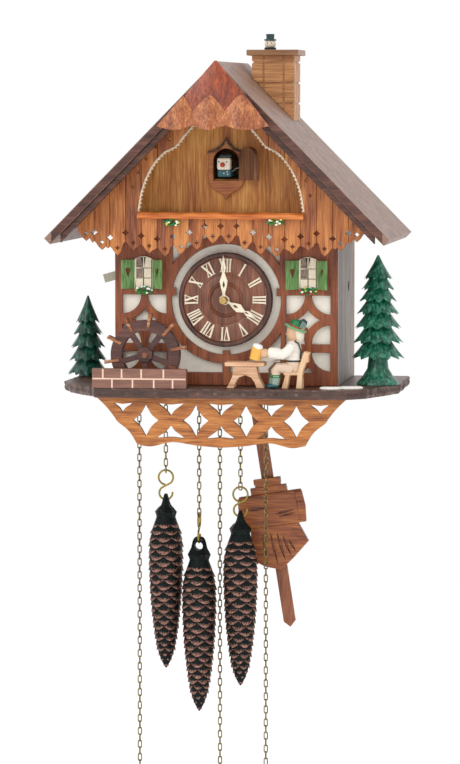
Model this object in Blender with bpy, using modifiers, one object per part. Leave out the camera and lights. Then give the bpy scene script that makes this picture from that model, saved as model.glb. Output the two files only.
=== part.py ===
"""A one-day musical chalet cuckoo clock, built as the real one comes apart on a bench.

Lengths below are millimetres, heights are above the top of the platform, +X is to the
right of someone who faces the dial, and the wall behind the clock is the plane Y = 0.
The finished model is in metres with its origin at the wall hanger.
"""

import math

import bmesh
import bpy
from mathutils import Matrix, Vector

MM = 0.001
GAP = 0.3                    # play between pieces that touch

# driving dimensions
HANGER_HEIGHT = 205.0
CASE_HALF = 83.0             # outside of the side boards
CASE_DEPTH = 121.0           # wall to the face of the timber frame
SIDE_THICK = 5.0
BOARD = 4.0
FRONT_FACE = -(CASE_DEPTH - BOARD)
DIAL_HEIGHT = 64.0
DIAL_RADIUS = 35.0
ROOF_APEX = 239.6
ROOF_ANGLE = math.radians(45.5)
ROOF_THICK = 6.0
ROOF_REACH = 126.8           # apex to the tip of the eaves, along X
ROOF_FRONT = -175.0
PLATFORM_THICK = 7.0
GABLE_FRONT = -149.0
CHAIN_DIAMETER = 3.4
PLATES = (-91.5, -51.0)      # inner faces of the movement's front and rear plates
PLATE_THICK = 1.5
WHEEL_HEIGHT = 30.0          # axis of the three chain wheels
WEIGHT_TRAVEL = 40.0
PENDULUM_Y = -42.0
PENDULUM_PIVOT = 58.0
PENDULUM_TILT = math.radians(-8.9)
WHEEL_X = -56.8
MILL_Y = -143.0
MILL_HEIGHT = 24.0
HANK_TOP = -302.0
HANK_RUN = 46.0
HANK_OUTER = 17.2            # centre line radius of the hank's outer turn
HANK_WIDTH = 11.0
HANK_LAYERS = 3

# for the music, the call and the time: the chain's distance from the wall, the x of its
# weight side and of its free side, and the height of the top of the weight's hook
CHAINS = {
    1: (-62.0, -54.5, -74.9, -68.7),
    2: (-68.0, -28.0, -12.1, -100.5),
    3: (-68.0, 3.6, 23.1, -80.3),
}

for old in list(bpy.data.objects):
    bpy.data.objects.remove(old)

clock = bpy.data.collections.new("cuckoo_clock")
cutters = bpy.data.collections.new("cutters")
bpy.context.scene.collection.children.link(clock)
bpy.context.scene.collection.children.link(cutters)


def world(x, y, z):
    return Vector((x, y, z - HANGER_HEIGHT)) * MM


def under_roof(x):
    """Height of the roof's underside, less the play, at a distance from the middle."""
    return ROOF_APEX - ROOF_THICK / math.cos(ROOF_ANGLE) - abs(x) * math.tan(ROOF_ANGLE) - 2 * GAP


# ---------------------------------------------------------------- materials

def finish(name, colour, roughness, metallic=0.0):
    surface = bpy.data.materials.new(name)
    surface.use_nodes = True
    shader = surface.node_tree.nodes["Principled BSDF"]
    shader.inputs["Base Color"].default_value = (*colour, 1.0)
    shader.inputs["Roughness"].default_value = roughness
    shader.inputs["Metallic"].default_value = metallic
    surface.diffuse_color = (*colour, 1.0)
    return surface


STAINED = finish("stained_lime_wood", (0.45, 0.15, 0.04), 0.45)
GOLDEN = finish("golden_veneer", (0.55, 0.30, 0.10), 0.5)
WALNUT = finish("walnut_stain", (0.20, 0.12, 0.08), 0.5)
ROOF_STAIN = finish("roof_stain", (0.30, 0.22, 0.18), 0.4)
PALE_WOOD = finish("pale_beech", (0.75, 0.52, 0.34), 0.55)
PLASTER = finish("plaster_white", (0.80, 0.77, 0.68), 0.8)
DIAL_STAIN = finish("dial_mahogany", (0.18, 0.05, 0.03), 0.4)
CREAM = finish("cream_plastic", (0.85, 0.78, 0.60), 0.4)
GREEN = finish("fir_green", (0.02, 0.28, 0.12), 0.6)
BRICK = finish("brick_red_brown", (0.16, 0.05, 0.04), 0.6)
PAINT = finish("figure_paint", (0.80, 0.75, 0.68), 0.5)
TEAL = finish("teal_paint", (0.02, 0.20, 0.18), 0.5)
BRASS = finish("brass", (0.70, 0.50, 0.20), 0.3, 1.0)
STEEL = finish("steel", (0.45, 0.45, 0.45), 0.35, 1.0)
IRON = finish("cast_iron_patina", (0.06, 0.09, 0.08), 0.5, 0.6)


# ---------------------------------------------------------------- modelling tools

def place(name, data, surface, origin, turn=None, base=None):
    """A new object at origin, turned about it, holding data made around that point."""
    piece = bpy.data.objects.new(name, data)
    matrix = Matrix.Translation(world(*origin))
    if turn:
        matrix = matrix @ turn
    if base:
        matrix = matrix @ base
    piece.matrix_world = matrix
    data.materials.append(surface)
    clock.objects.link(piece)
    return piece


def as_mesh(piece):
    """The same object with its curve or its modifiers made a welded mesh."""
    bpy.context.view_layer.update()
    depsgraph = bpy.context.evaluated_depsgraph_get()
    mesh = bpy.data.meshes.new_from_object(piece.evaluated_get(depsgraph))
    shape = bmesh.new()
    shape.from_mesh(mesh)
    bmesh.ops.remove_doubles(shape, verts=shape.verts, dist=1e-6)
    bmesh.ops.recalc_face_normals(shape, faces=shape.faces)
    shape.to_mesh(mesh)
    shape.free()
    solid = bpy.data.objects.new(piece.name, mesh)
    solid.matrix_world = piece.matrix_world
    for collection in piece.users_collection:
        collection.objects.link(solid)
    name = piece.name
    bpy.data.objects.remove(piece)
    solid.name = name
    return solid


def combine(piece, others, operation="UNION"):
    """Boolean each of the others into the piece; they stay behind as cutters."""
    for number, other in enumerate(others):
        for collection in other.users_collection:
            collection.objects.unlink(other)
        cutters.objects.link(other)
        other.name = f"{piece.name}_cutter_{number}"
        other.hide_render = True
        other.display_type = "WIRE"
        step = piece.modifiers.new(f"{operation.lower()}_{number}", "BOOLEAN")
        step.operation = operation
        step.object = other
        step.solver = "EXACT"
    return piece


def shape_object(name, shape, surface, origin, turn=None, smooth=False):
    mesh = bpy.data.meshes.new(name)
    shape.to_mesh(mesh)
    shape.free()
    if smooth:
        mesh.shade_smooth()
        mesh.set_sharp_from_angle(angle=math.radians(35))
    return place(name, mesh, surface, origin, turn)


def block(name, x, y, z, surface, bevel=0.0, origin=None, turn=None):
    """A box between the low and high values of x, y and z, given from its origin if it has one."""
    origin = origin or ((x[0] + x[1]) / 2, (y[0] + y[1]) / 2, (z[0] + z[1]) / 2)
    low = Vector((x[0], y[0], z[0])) - Vector(origin)
    high = Vector((x[1], y[1], z[1])) - Vector(origin)
    shape = bmesh.new()
    size = Matrix.Diagonal((*((high - low) * MM), 1.0))
    bmesh.ops.create_cube(shape, size=1.0, matrix=Matrix.Translation((low + high) / 2 * MM) @ size)
    piece = shape_object(name, shape, surface, origin, turn)
    if bevel:
        edge = piece.modifiers.new("edges", "BEVEL")
        edge.width = bevel * MM
        edge.segments = 1
    return piece


def rod(name, start, end, radius, surface, sides=16, origin=None, turn=None):
    """A round bar from start to end."""
    origin = origin or start
    start, end = (Vector(point) - Vector(origin) for point in (start, end))
    middle = Matrix.Translation((start + end) / 2 * MM)
    facing = (end - start).to_track_quat("Z", "Y").to_matrix().to_4x4()
    shape = bmesh.new()
    bmesh.ops.create_cone(
        shape, cap_ends=True, segments=sides, radius1=radius * MM, radius2=radius * MM,
        depth=(end - start).length * MM, matrix=middle @ facing)
    return shape_object(name, shape, surface, origin, turn, smooth=True)


FACING = {
    "X": Matrix(((0, 0, 1, 0), (1, 0, 0, 0), (0, 1, 0, 0), (0, 0, 0, 1))),
    "Y": Matrix.Rotation(math.radians(90), 4, "X"),
    "Z": Matrix.Identity(4),
}


def plate(name, outlines, axis, span, surface, origin=None, turn=None):
    """Flat outlines, the first the outer edge and the rest holes, extruded along an axis.

    Outline points are (y, z), (x, z) or (x, y) for the axis X, Y or Z; with an origin
    given they are measured from it.
    """
    middle = (span[0] + span[1]) / 2
    place_at = {"X": (middle, 0, 0), "Y": (0, middle, 0), "Z": (0, 0, middle)}[axis]
    if origin is not None:
        place_at = origin
    curve = bpy.data.curves.new(name, "CURVE")
    curve.dimensions = "2D"
    curve.fill_mode = "BOTH"
    curve.extrude = (span[1] - span[0]) / 2 * MM
    for outline in outlines:
        spline = curve.splines.new("POLY")
        spline.points.add(len(outline) - 1)
        spline.use_cyclic_u = True
        for point, (u, v) in zip(spline.points, outline):
            point.co = (u * MM, v * MM, 0.0, 1.0)
    return place(name, curve, surface, place_at, turn, FACING[axis])


def rectangle(u, v):
    return [(u[0], v[0]), (u[1], v[0]), (u[1], v[1]), (u[0], v[1])]


def arc(centre, radius, start, end, steps):
    """Points from start to end, degrees counter-clockwise from the first axis."""
    angles = [math.radians(start + (end - start) * i / steps) for i in range(steps + 1)]
    return [(centre[0] + radius * math.cos(a), centre[1] + radius * math.sin(a)) for a in angles]


def circle(centre, radius, steps=20):
    return arc(centre, radius, 0, 360, steps)[:-1]


def turned(name, profile, surface, origin, axis="Z", steps=20, turn=None):
    """A turned solid from (radius, height) points, listed top to bottom."""
    mesh = bpy.data.meshes.new(name)
    points = [(radius * MM, 0.0, height * MM) for radius, height in profile]
    mesh.from_pydata(points, [(i, i + 1) for i in range(len(points) - 1)], [])
    base = {"Z": Matrix.Identity(4), "Y": Matrix.Rotation(math.radians(90), 4, "X")}[axis]
    piece = place(name, mesh, surface, origin, turn, base)
    screw = piece.modifiers.new("turning", "SCREW")
    screw.steps = steps
    screw.render_steps = steps
    screw.use_merge_vertices = True
    screw.merge_threshold = 0.00001
    screw.use_smooth_shade = True
    return piece


def wire(name, points, diameter, surface, origin=None, turn=None):
    """A round wire or rod through the points."""
    origin = origin or points[0]
    curve = bpy.data.curves.new(name, "CURVE")
    curve.dimensions = "3D"
    curve.bevel_depth = diameter / 2 * MM
    curve.bevel_resolution = 2
    curve.use_fill_caps = True
    spline = curve.splines.new("POLY")
    spline.points.add(len(points) - 1)
    for point, place_at in zip(spline.points, points):
        point.co = (*((Vector(place_at) - Vector(origin)) * MM), 1.0)
    return place(name, curve, surface, origin, turn)


# ---------------------------------------------------------------- case

def make_platform():
    half = 126.5
    outline = [(-half, 0), (-half - 1, -92), (-108, -132), (-93, -163), (93, -163),
               (108, -148), (half + 1, -92), (half, 0)]
    chain_slot = rectangle((-77.5, 28), (-75, -55))
    pendulum_slot = rectangle((-20, 20), (PENDULUM_Y - 7, PENDULUM_Y + 7))
    wheel_pit = rectangle((WHEEL_X - 32, WHEEL_X + 32), (MILL_Y - 6.5, MILL_Y + 6.5))
    plate("platform", [outline, chain_slot, pendulum_slot, wheel_pit], "Z", (-PLATFORM_THICK, 0), WALNUT)


def make_apron():
    """Fretwork board under the front of the platform: astroids between triangles."""
    top, bottom, spacing = -7.3, -43.5, 37.3
    side = [(93, top), (84, -17), (78, -24), (70, -32), (60, -43)]
    wave = [(45, -42), (30, -40.5), (15, -42.5), (0, -44)]
    right = side + wave
    outline = right + [(-x, z) for x, z in reversed(right[:-1])]
    middle, reach, wide = -24.0, 11.8, 8.6
    holes = []
    for place_at in (-1.5, -0.5, 0.5, 1.5):
        x = place_at * spacing
        holes.append([(x, middle + reach), (x + wide, middle), (x, middle - reach), (x - wide, middle)])
    for place_at in (-1, 0, 1):
        x = place_at * spacing
        holes.append([(x - 8, top - 4.5), (x + 8, top - 4.5), (x, top - 10.5)])
        holes.append([(x - 8, bottom + 7), (x, bottom + 13), (x + 8, bottom + 7)])
    for side_of in (-1, 1):
        x = side_of * 72
        holes.append([(x - 6, top - 4.5), (x + 6, top - 4.5), (x, top - 9)])
    plate("apron", [outline] + holes, "Y", (GABLE_FRONT, GABLE_FRONT + BOARD), STAINED)


def gable_outline(half, bottom):
    return [(-half, bottom), (half, bottom), (half, under_roof(half)), (0, under_roof(0)),
            (-half, under_roof(half))]


def doorway():
    """The arched opening that the bird comes out of."""
    half, low, spring = 9.8, 153, 167
    return [(-half, low), (half, low)] + arc((0, spring), half, 0, 180, 8)


def make_case():
    inner = CASE_HALF - SIDE_THICK
    back_edge, front_edge = -BOARD - GAP, FRONT_FACE + BOARD + GAP
    side_top = under_roof(CASE_HALF) - GAP
    walls = rectangle((front_edge, back_edge), (GAP, side_top))
    lever_slot = rectangle((-49, -45), (77, 89))
    sound_hole = circle((-43.5, 71), 4, 12)
    plate("side_left", [walls, lever_slot], "X", (-CASE_HALF, -inner), WALNUT)
    plate("side_right", [walls, sound_hole], "X", (inner, CASE_HALF), WALNUT)
    opening = rectangle((-56, 56), (24, 146))
    hanger_slot = rectangle((-8, 8), (198.5, 211.5))
    plate("back_board", [gable_outline(CASE_HALF, GAP), opening, hanger_slot], "Y", (-BOARD, 0), PALE_WOOD)
    plate("wall_hanger", [rectangle((-14, 14), (194, 215)), circle((0, HANGER_HEIGHT), 3, 12)],
          "Y", (-BOARD - 1.3, -BOARD - GAP), STEEL)
    hinge = (-55.5, -0.5, 85)
    block("back_cover", (-55.5, 55.5), (-3.5, -0.5), (24.5, 145.5), PALE_WOOD, origin=hinge)
    shaft = circle((0, DIAL_HEIGHT), 5, 12)
    plate("front_board", [gable_outline(CASE_HALF, GAP), doorway(), shaft],
          "Y", (FRONT_FACE, FRONT_FACE + BOARD), PLASTER)


def make_timber_frame():
    """One sawn overlay: posts, sill, mid and bottom beams and the ring round the dial."""
    outer, post, inner_post, inner_edge = CASE_HALF + 0.4, 77.8, 44.8, 40.2
    sill, mid, bottom, ring = (67.2, 71.9), (25.0, 31.1), 9.7, 47.8
    outside = rectangle((-outer, outer), (GAP, 126))
    holes = [circle((0, DIAL_HEIGHT), 41, 32)]
    for side in (-1, 1):
        for low, high in ((bottom, mid[0]), (mid[1], sill[0]), (sill[1], 120)):
            holes.append(rectangle(sorted((side * inner_post, side * post)), (low, high)))
        low_corner = [(side * x, z) for x, z in arc((0, DIAL_HEIGHT), ring, -31, -86.5, 6)]
        holes.append([(side * inner_edge, bottom)] + low_corner + [(side * 2.7, bottom)])
        high_corner = [(side * x, z) for x, z in arc((0, DIAL_HEIGHT), ring, 33, 80, 6)]
        holes.append(high_corner + [(side * 8.3, 120), (side * inner_edge, 120)])
    plate("timber_frame", [outside] + holes, "Y", (-CASE_DEPTH, FRONT_FACE - GAP), STAINED)


def make_gable_boards():
    """Vertical boards with sawn picket ends, hung under the front of the roof."""
    pitch, notch = 11.8, 6.4
    tips = (106.3, 101.6, 98.5, 96.7, 98.9, 101.2, 97.4, 101.4, 107.9)
    edge = []
    for number, tip in enumerate(tips):
        centre = (number + 0.5) * pitch
        edge += [(centre, tip), (centre + pitch / 2, tip + notch)]
    right = [(0, tips[0] + notch)] + edge
    end = right[-1][0]
    outline = [(-x, z) for x, z in reversed(right[1:])] + right
    outline += [(end, under_roof(end)), (0, under_roof(0)), (-end, under_roof(end))]
    arch = [(61, 129.5), (58, 146), (51.5, 161), (42.5, 172), (33, 177), (26, 186), (15, 197)]
    opening = arch + [(0, 203)] + [(-x, z) for x, z in reversed(arch)]
    plate("gable_boards", [outline, opening], "Y", (GABLE_FRONT, GABLE_FRONT + BOARD), STAINED)
    block("balcony_rail", (-61.5, 61.5), (GABLE_FRONT - GAP - 5, GABLE_FRONT - GAP), (124.5, 129.2),
          STAINED, bevel=1.5)


def make_roof():
    """Two boards mitred at the ridge, with a carved half-hip in front of them."""
    slope, drop = math.tan(ROOF_ANGLE), ROOF_THICK / math.cos(ROOF_ANGLE)
    tip = (ROOF_REACH, ROOF_APEX - ROOF_REACH * slope)
    inner = (tip[0] - ROOF_THICK * math.sin(ROOF_ANGLE), tip[1] - ROOF_THICK * math.cos(ROOF_ANGLE))
    half = [(GAP / 2, ROOF_APEX), tip, inner, (GAP / 2, ROOF_APEX - drop)]
    plate("roof_right", [half], "Y", (ROOF_FRONT, 0), ROOF_STAIN)
    plate("roof_left", [[(-x, z) for x, z in half]], "Y", (ROOF_FRONT, 0), ROOF_STAIN)
    back = ROOF_FRONT - GAP
    side = [(back, 241.0), (back - 2.5, 241.0), (-194, 196.0), (-195.5, 190.0), (back, 190.0)]
    hood = as_mesh(plate("roof_hood", [side], "X", (-50, 50), STAINED))
    gable = [(-50, 180), (50, 180), (50, 188), (42, 196), (0, 240.5), (-42, 196), (-50, 188)]
    keep = as_mesh(plate("hood_limit", [gable], "Y", (-220, -150), STAINED))
    combine(hood, [keep], "INTERSECT")


def make_chimney():
    """A grooved wooden stack on the right slope, bored for the sweep and capped."""
    x, y, top = (11.2, 43.4), (-60.0, -23.0), 245.0
    low_left = ROOF_APEX - x[0] * math.tan(ROOF_ANGLE) + GAP * 1.5
    low_right = ROOF_APEX - x[1] * math.tan(ROOF_ANGLE) + GAP * 1.5
    stack = [(x[0], low_left), (x[1], low_right), (x[1], top + 1), (x[0], top + 1)]
    chimney = as_mesh(plate("chimney", [stack], "Y", y, PALE_WOOD))
    cap = block("chimney_cap", (7.6, 46.8), (-65, -18), (top, top + 4), PALE_WOOD)
    bore = rod("sweep_bore", (22.8, -42, 232.5), (22.8, -42, 260), 5.6, PALE_WOOD)
    combine(chimney, [cap])
    combine(chimney, [bore], "DIFFERENCE")
    sweep = [(0, 11.3), (3.0, 11.3), (3.4, 8.2), (4.8, 7.4), (4.6, 6.4), (4.6, 2), (3.6, 0), (4.2, -1),
             (4.6, -16), (0, -16)]
    turned("sweep", sweep, TEAL, (22.8, -42, 250), steps=12)


# ---------------------------------------------------------------- front dress

def make_dial():
    """Turned dial with a raised rim and centre, bored for the hour pipe."""
    bore = 4.6
    profile = [(bore, 8), (11, 8), (13, 6.4), (31, 5.6), (31.6, 8), (34, 8.4), (DIAL_RADIUS, 6),
               (DIAL_RADIUS, 0), (bore, 0), (bore, 8)]
    turned("dial", profile, DIAL_STAIN, (0, FRONT_FACE - GAP, DIAL_HEIGHT), "Y", 36)


def hand_outline(length, width):
    waist = length * 0.45
    return [(-2.2, -7), (2.2, -7), (width, waist), (0.6, length), (-0.6, length), (-width, waist)]


def make_hands():
    """Carved hands on concentric arbors; the hour pipe runs on the minute arbor."""
    face = -130.0
    centre = (0, face, DIAL_HEIGHT)
    point_to = Matrix.Rotation(math.radians(120), 4, "Y")
    hour = as_mesh(plate("hour_hand", [hand_outline(27, 3.4)], "Y", (-0.8, 0.8), CREAM,
                         origin=centre, turn=point_to))
    pipe = rod("hour_pipe", (0, face + 0.5, DIAL_HEIGHT), (0, -95, DIAL_HEIGHT), 3.6, BRASS)
    wheel = rod("hour_wheel", (0, -98, DIAL_HEIGHT), (0, -96, DIAL_HEIGHT), 14, BRASS, sides=36)
    bore = rod("hour_bore", (0, -140, DIAL_HEIGHT), (0, -90, DIAL_HEIGHT), 2.0, BRASS)
    combine(hour, [pipe, wheel])
    combine(hour, [bore], "DIFFERENCE")
    front = face - 3
    minute = as_mesh(plate("minute_hand", [hand_outline(33, 3.0)], "Y", (-0.8, 0.8), CREAM,
                           origin=(0, front, DIAL_HEIGHT), turn=Matrix.Rotation(math.radians(-1), 4, "Y")))
    eye = rod("minute_eye", (0, front - 3, DIAL_HEIGHT), (0, front + 3, DIAL_HEIGHT), 1.6, BRASS, sides=12)
    combine(minute, [eye], "DIFFERENCE")
    arbor = [(0, 6), (2.6, 6), (3.0, 3.2), (3.0, 1.3), (1.3, 1.2), (1.3, -76.5), (0, -76.5)]
    turned("minute_arbor", arbor, BRASS, (0, front, DIAL_HEIGHT), "Y", 12)


def make_windows():
    """Sash frames with six panes; each keeps its two open shutters."""
    face = -CASE_DEPTH - GAP
    for name, centre in (("window_left", -61.5), ("window_right", 61.5)):
        half, low, spring = 6.8, 71.5, 91.5
        frame = [(-half, low), (half, low)] + arc((0, spring), half, 0, 180, 6)
        panes = []
        for row in range(3):
            z = low + 1.4 + row * 7.0
            for side in (-1, 1):
                panes.append(rectangle(sorted((side * 0.7, side * 5.4)), (z, z + 5.8)))
        outlines = [[(u + centre, v) for u, v in outline] for outline in [frame] + panes]
        window = as_mesh(plate(name, outlines, "Y", (face - 2, face), CREAM))
        shutters = []
        for side in (-1, 1):
            hinge = (centre + side * 6.4, face - 1.2, 82.5)
            swing = Matrix.Rotation(math.radians(-35 * side), 4, "Z")
            x = sorted((hinge[0], hinge[0] + side * 11.5))
            shutters.append(block(f"{name}_shutter", x, (face - 2.0, face - 0.4), (71.8, 93.4), GREEN,
                                  origin=hinge, turn=swing))
        combine(window, shutters)


def make_cuckoo():
    """Shield plate round the doorway, the door that opens with the bird, and the bird."""
    face = -CASE_DEPTH + BOARD - GAP
    right = [(7, 141), (12.6, 147), (12.6, 170), (9, 177.5)]
    shield = [(0, 138.5)] + right + [(0, 181.5)] + [(-x, z) for x, z in reversed(right)]
    plate("door_surround", [shield, doorway()], "Y", (face - 3.5, face), GOLDEN)
    hinge = (10.8, face - 5.8, 165)
    leaf = [(-20.8, -12.5), (-0.6, -12.5)] + arc((-10.7, 2), 10.1, 0, 180, 8)
    plate("cuckoo_door", [leaf], "Y", (-2, 2), GOLDEN, origin=hinge,
          turn=Matrix.Rotation(math.radians(135), 4, "Z"))
    bird = [(-112, 155), (-131, 155), (-134, 160), (-135, 164), (-134, 171), (-129, 173), (-124, 171),
            (-121, 165), (-112, 162), (-90, 161.5), (-90, 156)]
    plate("cuckoo", [bird], "X", (-5, 5), PAINT)


def tree_profile(height, tiers, trunk):
    """A turned fir: each tier is a cone whose rim hangs over the tier below."""
    profile = [(0, height)]
    for radius, rim in tiers:
        profile += [(radius, rim), (radius * 0.45, rim + 1.0)]
    return profile + trunk


def make_trees():
    right = [(10.5, 78.5), (12.0, 71), (14.5, 63), (16, 53.5), (17.5, 43), (19, 32), (20, 21)]
    trunk = [(6.5, 20), (9.5, 10), (15.5, 0.4), (0, 0.4)]
    turned("fir_tree_right", tree_profile(96.5, right, trunk), GREEN, (110.7, -95, 0), steps=16)
    left = [(9, 41), (11.5, 32), (13.2, 22.5), (14.5, 12.5), (16, 2)]
    turned("fir_tree_left", tree_profile(62, left, [(7, 0.4), (0, 0.4)]), GREEN, (-118.2, -40, 0), steps=16)


def make_mill():
    """Undershot wheel on its shaft, behind a low brick wall."""
    block("brick_wall", (-94, -24), (-161, -154.5), (GAP, 14.5), BRICK)
    centre = (WHEEL_X, MILL_Y, MILL_HEIGHT)
    rim = [(17.4, 4), (25.7, 4), (25.7, -4), (17.4, -4), (17.4, 4)]
    wheel = as_mesh(turned("water_wheel", rim, BRICK, centre, "Y", 30))
    others = [rod("hub", (WHEEL_X, -149, MILL_HEIGHT), (WHEEL_X, -121.5, MILL_HEIGHT), 3.2, BRICK),
              rod("boss", (WHEEL_X, -148, MILL_HEIGHT), (WHEEL_X, -138.5, MILL_HEIGHT), 6.0, BRICK)]
    for spoke in range(5):
        angle = math.radians(-20 + 72 * spoke)
        others.append(block("spoke", (-1.9, 1.9), (-3.5, 3.5), (4, 19), BRICK, origin=(0, 0, 0)))
        others[-1].matrix_world = Matrix.Translation(world(*centre)) @ Matrix.Rotation(angle, 4, "Y")
    for paddle in range(10):
        angle = math.radians(11 + 36 * paddle)
        others.append(block("paddle", (-1.2, 1.2), (-5.5, 5.5), (19.4, 30.8), BRICK, origin=(0, 0, 0)))
        others[-1].matrix_world = Matrix.Translation(world(*centre)) @ Matrix.Rotation(angle, 4, "Y")
    combine(wheel, others)


def make_drinker():
    """Trestle table, and a seated man in profile whose arm lifts his mug."""
    splayed_legs = [(27.5, GAP), (32, GAP), (26.5, 15.6), (33, 15.6), (33, 19.6), (3.2, 19.6), (3.2, 15.6),
                    (10, 15.6)]
    table = [(5, GAP), (9.5, GAP)] + arc((18.5, 1.5), 8.2, 170, 10, 6) + splayed_legs
    plate("beer_table", [table], "Y", (-153, -137), PALE_WOOD)
    chair = [(45, GAP), (49.5, GAP), (50.5, 10.5), (55, 10.5), (55.5, GAP), (61, GAP), (61, 14), (66, 26),
             (62, 27.5), (59.5, 22), (59.5, 35)]
    head = [(63, 36), (63.3, 40), (64.6, 44), (64, 50.5), (58.5, 49), (57, 51.6), (52, 51.6), (50.5, 48.5),
            (46.9, 47.5), (48.6, 43), (48.8, 36.5)]
    knees = [(45.5, 33), (45.5, 21), (42, 18.6), (38, 14), (37.6, 7), (33.5, 3)]
    man = [(33.5, GAP), (43.2, GAP), (44.5, 8)] + chair + head + knees
    plate("drinker", [man], "Y", (-150, -138), PAINT)
    shoulder = (52, -152.6, 31.5)
    arm = [(3, 2.5), (4, -3), (-3, -9.5), (-21.4, -9.8), (-22, -10.3), (-29.7, -10.3), (-29.7, 1.5),
           (-21.4, 1.5), (-20.5, -1.5), (-12, 0), (-6, 1.5), (-1, 3.5)]
    plate("drinker_arm", [arm], "Y", (-2.2, 2.2), PAINT, origin=shoulder)


# ---------------------------------------------------------------- works

def make_movement():
    """Brass plates with pillars; the rear plate carries the post the pendulum hangs on."""
    x, z = (-37, 38), (8, 100)
    front, rear = PLATES
    outer_front, outer_rear = front - PLATE_THICK, rear + PLATE_THICK
    arbor_hole = circle((0, DIAL_HEIGHT), 2.2, 12)
    frame = as_mesh(plate("movement_frame", [rectangle(x, z), arbor_hole], "Y", (outer_front, front), BRASS))
    rear_plate = as_mesh(plate("rear_plate", [rectangle(x, z)], "Y", (rear, outer_rear), BRASS))
    pillars = [rod("pillar", (pillar_x, front - 1, pillar_z), (pillar_x, rear + 1, pillar_z), 2.2, BRASS,
                   sides=10)
               for pillar_x in (x[0] + 4, x[1] - 4) for pillar_z in (z[0] + 3.2, z[1] - 4)]
    post = rod("post", (0, rear + 0.8, PENDULUM_PIVOT), (0, PENDULUM_Y + 3.5, PENDULUM_PIVOT), 1.2, BRASS,
               sides=10)
    combine(frame, [rear_plate, *pillars, post])
    low, high, shelf = 8, 94, (74, 76)
    bed = [(outer_front, low), (outer_front, high), (front, high), (front, shelf[1]), (rear, shelf[1]),
           (rear, high), (outer_rear, high), (outer_rear, low), (rear, low), (rear, shelf[0]),
           (front, shelf[0]), (front, low)]
    plate("music_base", [bed], "X", (-76.5, -47), BRASS)
    drum = [(0, 19.3), (1.5, 19.3), (1.5, 17), (6.5, 17), (6.5, -17), (1.5, -17), (1.5, -19.3), (0, -19.3)]
    turned("music_drum", drum, BRASS, (-61.5, -71.2, 85.5), "Y", 20)


def make_chain_wheels():
    """Sprocket with its ratchet flange on one arbor for each chain."""
    for number, (chain_y, weight_x, free_x, _) in CHAINS.items():
        pitch_radius = abs(free_x - weight_x) / 2
        disc = pitch_radius - CHAIN_DIAMETER / 2 - GAP
        front, back = chain_y - PLATES[0] - GAP, chain_y - PLATES[1] + GAP
        flange = pitch_radius + 2.5
        profile = [(0, front), (1.5, front), (1.5, 2.5), (disc, 2.5), (disc - 1.2, 0), (disc, -2.5),
                   (2.5, -2.5), (2.5, -6), (flange, -6), (flange, -8), (1.5, -8), (1.5, back), (0, back)]
        centre = ((weight_x + free_x) / 2, chain_y, WHEEL_HEIGHT)
        turned(f"chain_wheel_{number}", profile, BRASS, centre, "Y", 24)


def make_chains():
    """Weight side, free side and tied hank of each chain, with the cone and its hook."""
    for number, (chain_y, weight_x, free_x, hook_top) in CHAINS.items():
        over = WHEEL_HEIGHT + WEIGHT_TRAVEL
        wire(f"weight_chain_{number}", [(weight_x, chain_y, over), (weight_x, chain_y, hook_top + GAP)],
             CHAIN_DIAMETER, BRASS)
        wire(f"free_chain_{number}", [(free_x, chain_y, WHEEL_HEIGHT), (free_x, chain_y, HANK_TOP)],
             CHAIN_DIAMETER, BRASS)
        outer = HANK_OUTER + CHAIN_DIAMETER / 2 + GAP
        centre_y = chain_y + HANK_OUTER
        top = HANK_TOP - GAP - outer
        low = top - HANK_RUN
        inner = outer - HANK_LAYERS * CHAIN_DIAMETER
        loops = [arc((centre_y, top), radius, 0, 180, 8) + arc((centre_y, low), radius, 180, 360, 8)
                 for radius in (outer, inner)]
        plate(f"chain_hank_{number}", loops, "X",
              (free_x - HANK_WIDTH / 2, free_x + HANK_WIDTH / 2), BRASS)
        hook_length = 18.8
        cone_top = hook_top - hook_length
        hook = [(0, hook_length), (6.2, hook_length), (6.2, 6), (2, 3), (2, 0)]
        cone = [(4.2, 0), (4.2, -10), (9, -13.5), (7.2, -19), (12.6, -31), (13.3, -45), (13.3, -66),
                (10.6, -105), (8.5, -123), (3, -133.5), (0, -133.5)]
        turned(f"weight_{number}", hook + cone, IRON, (weight_x, chain_y, cone_top), steps=16)


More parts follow.
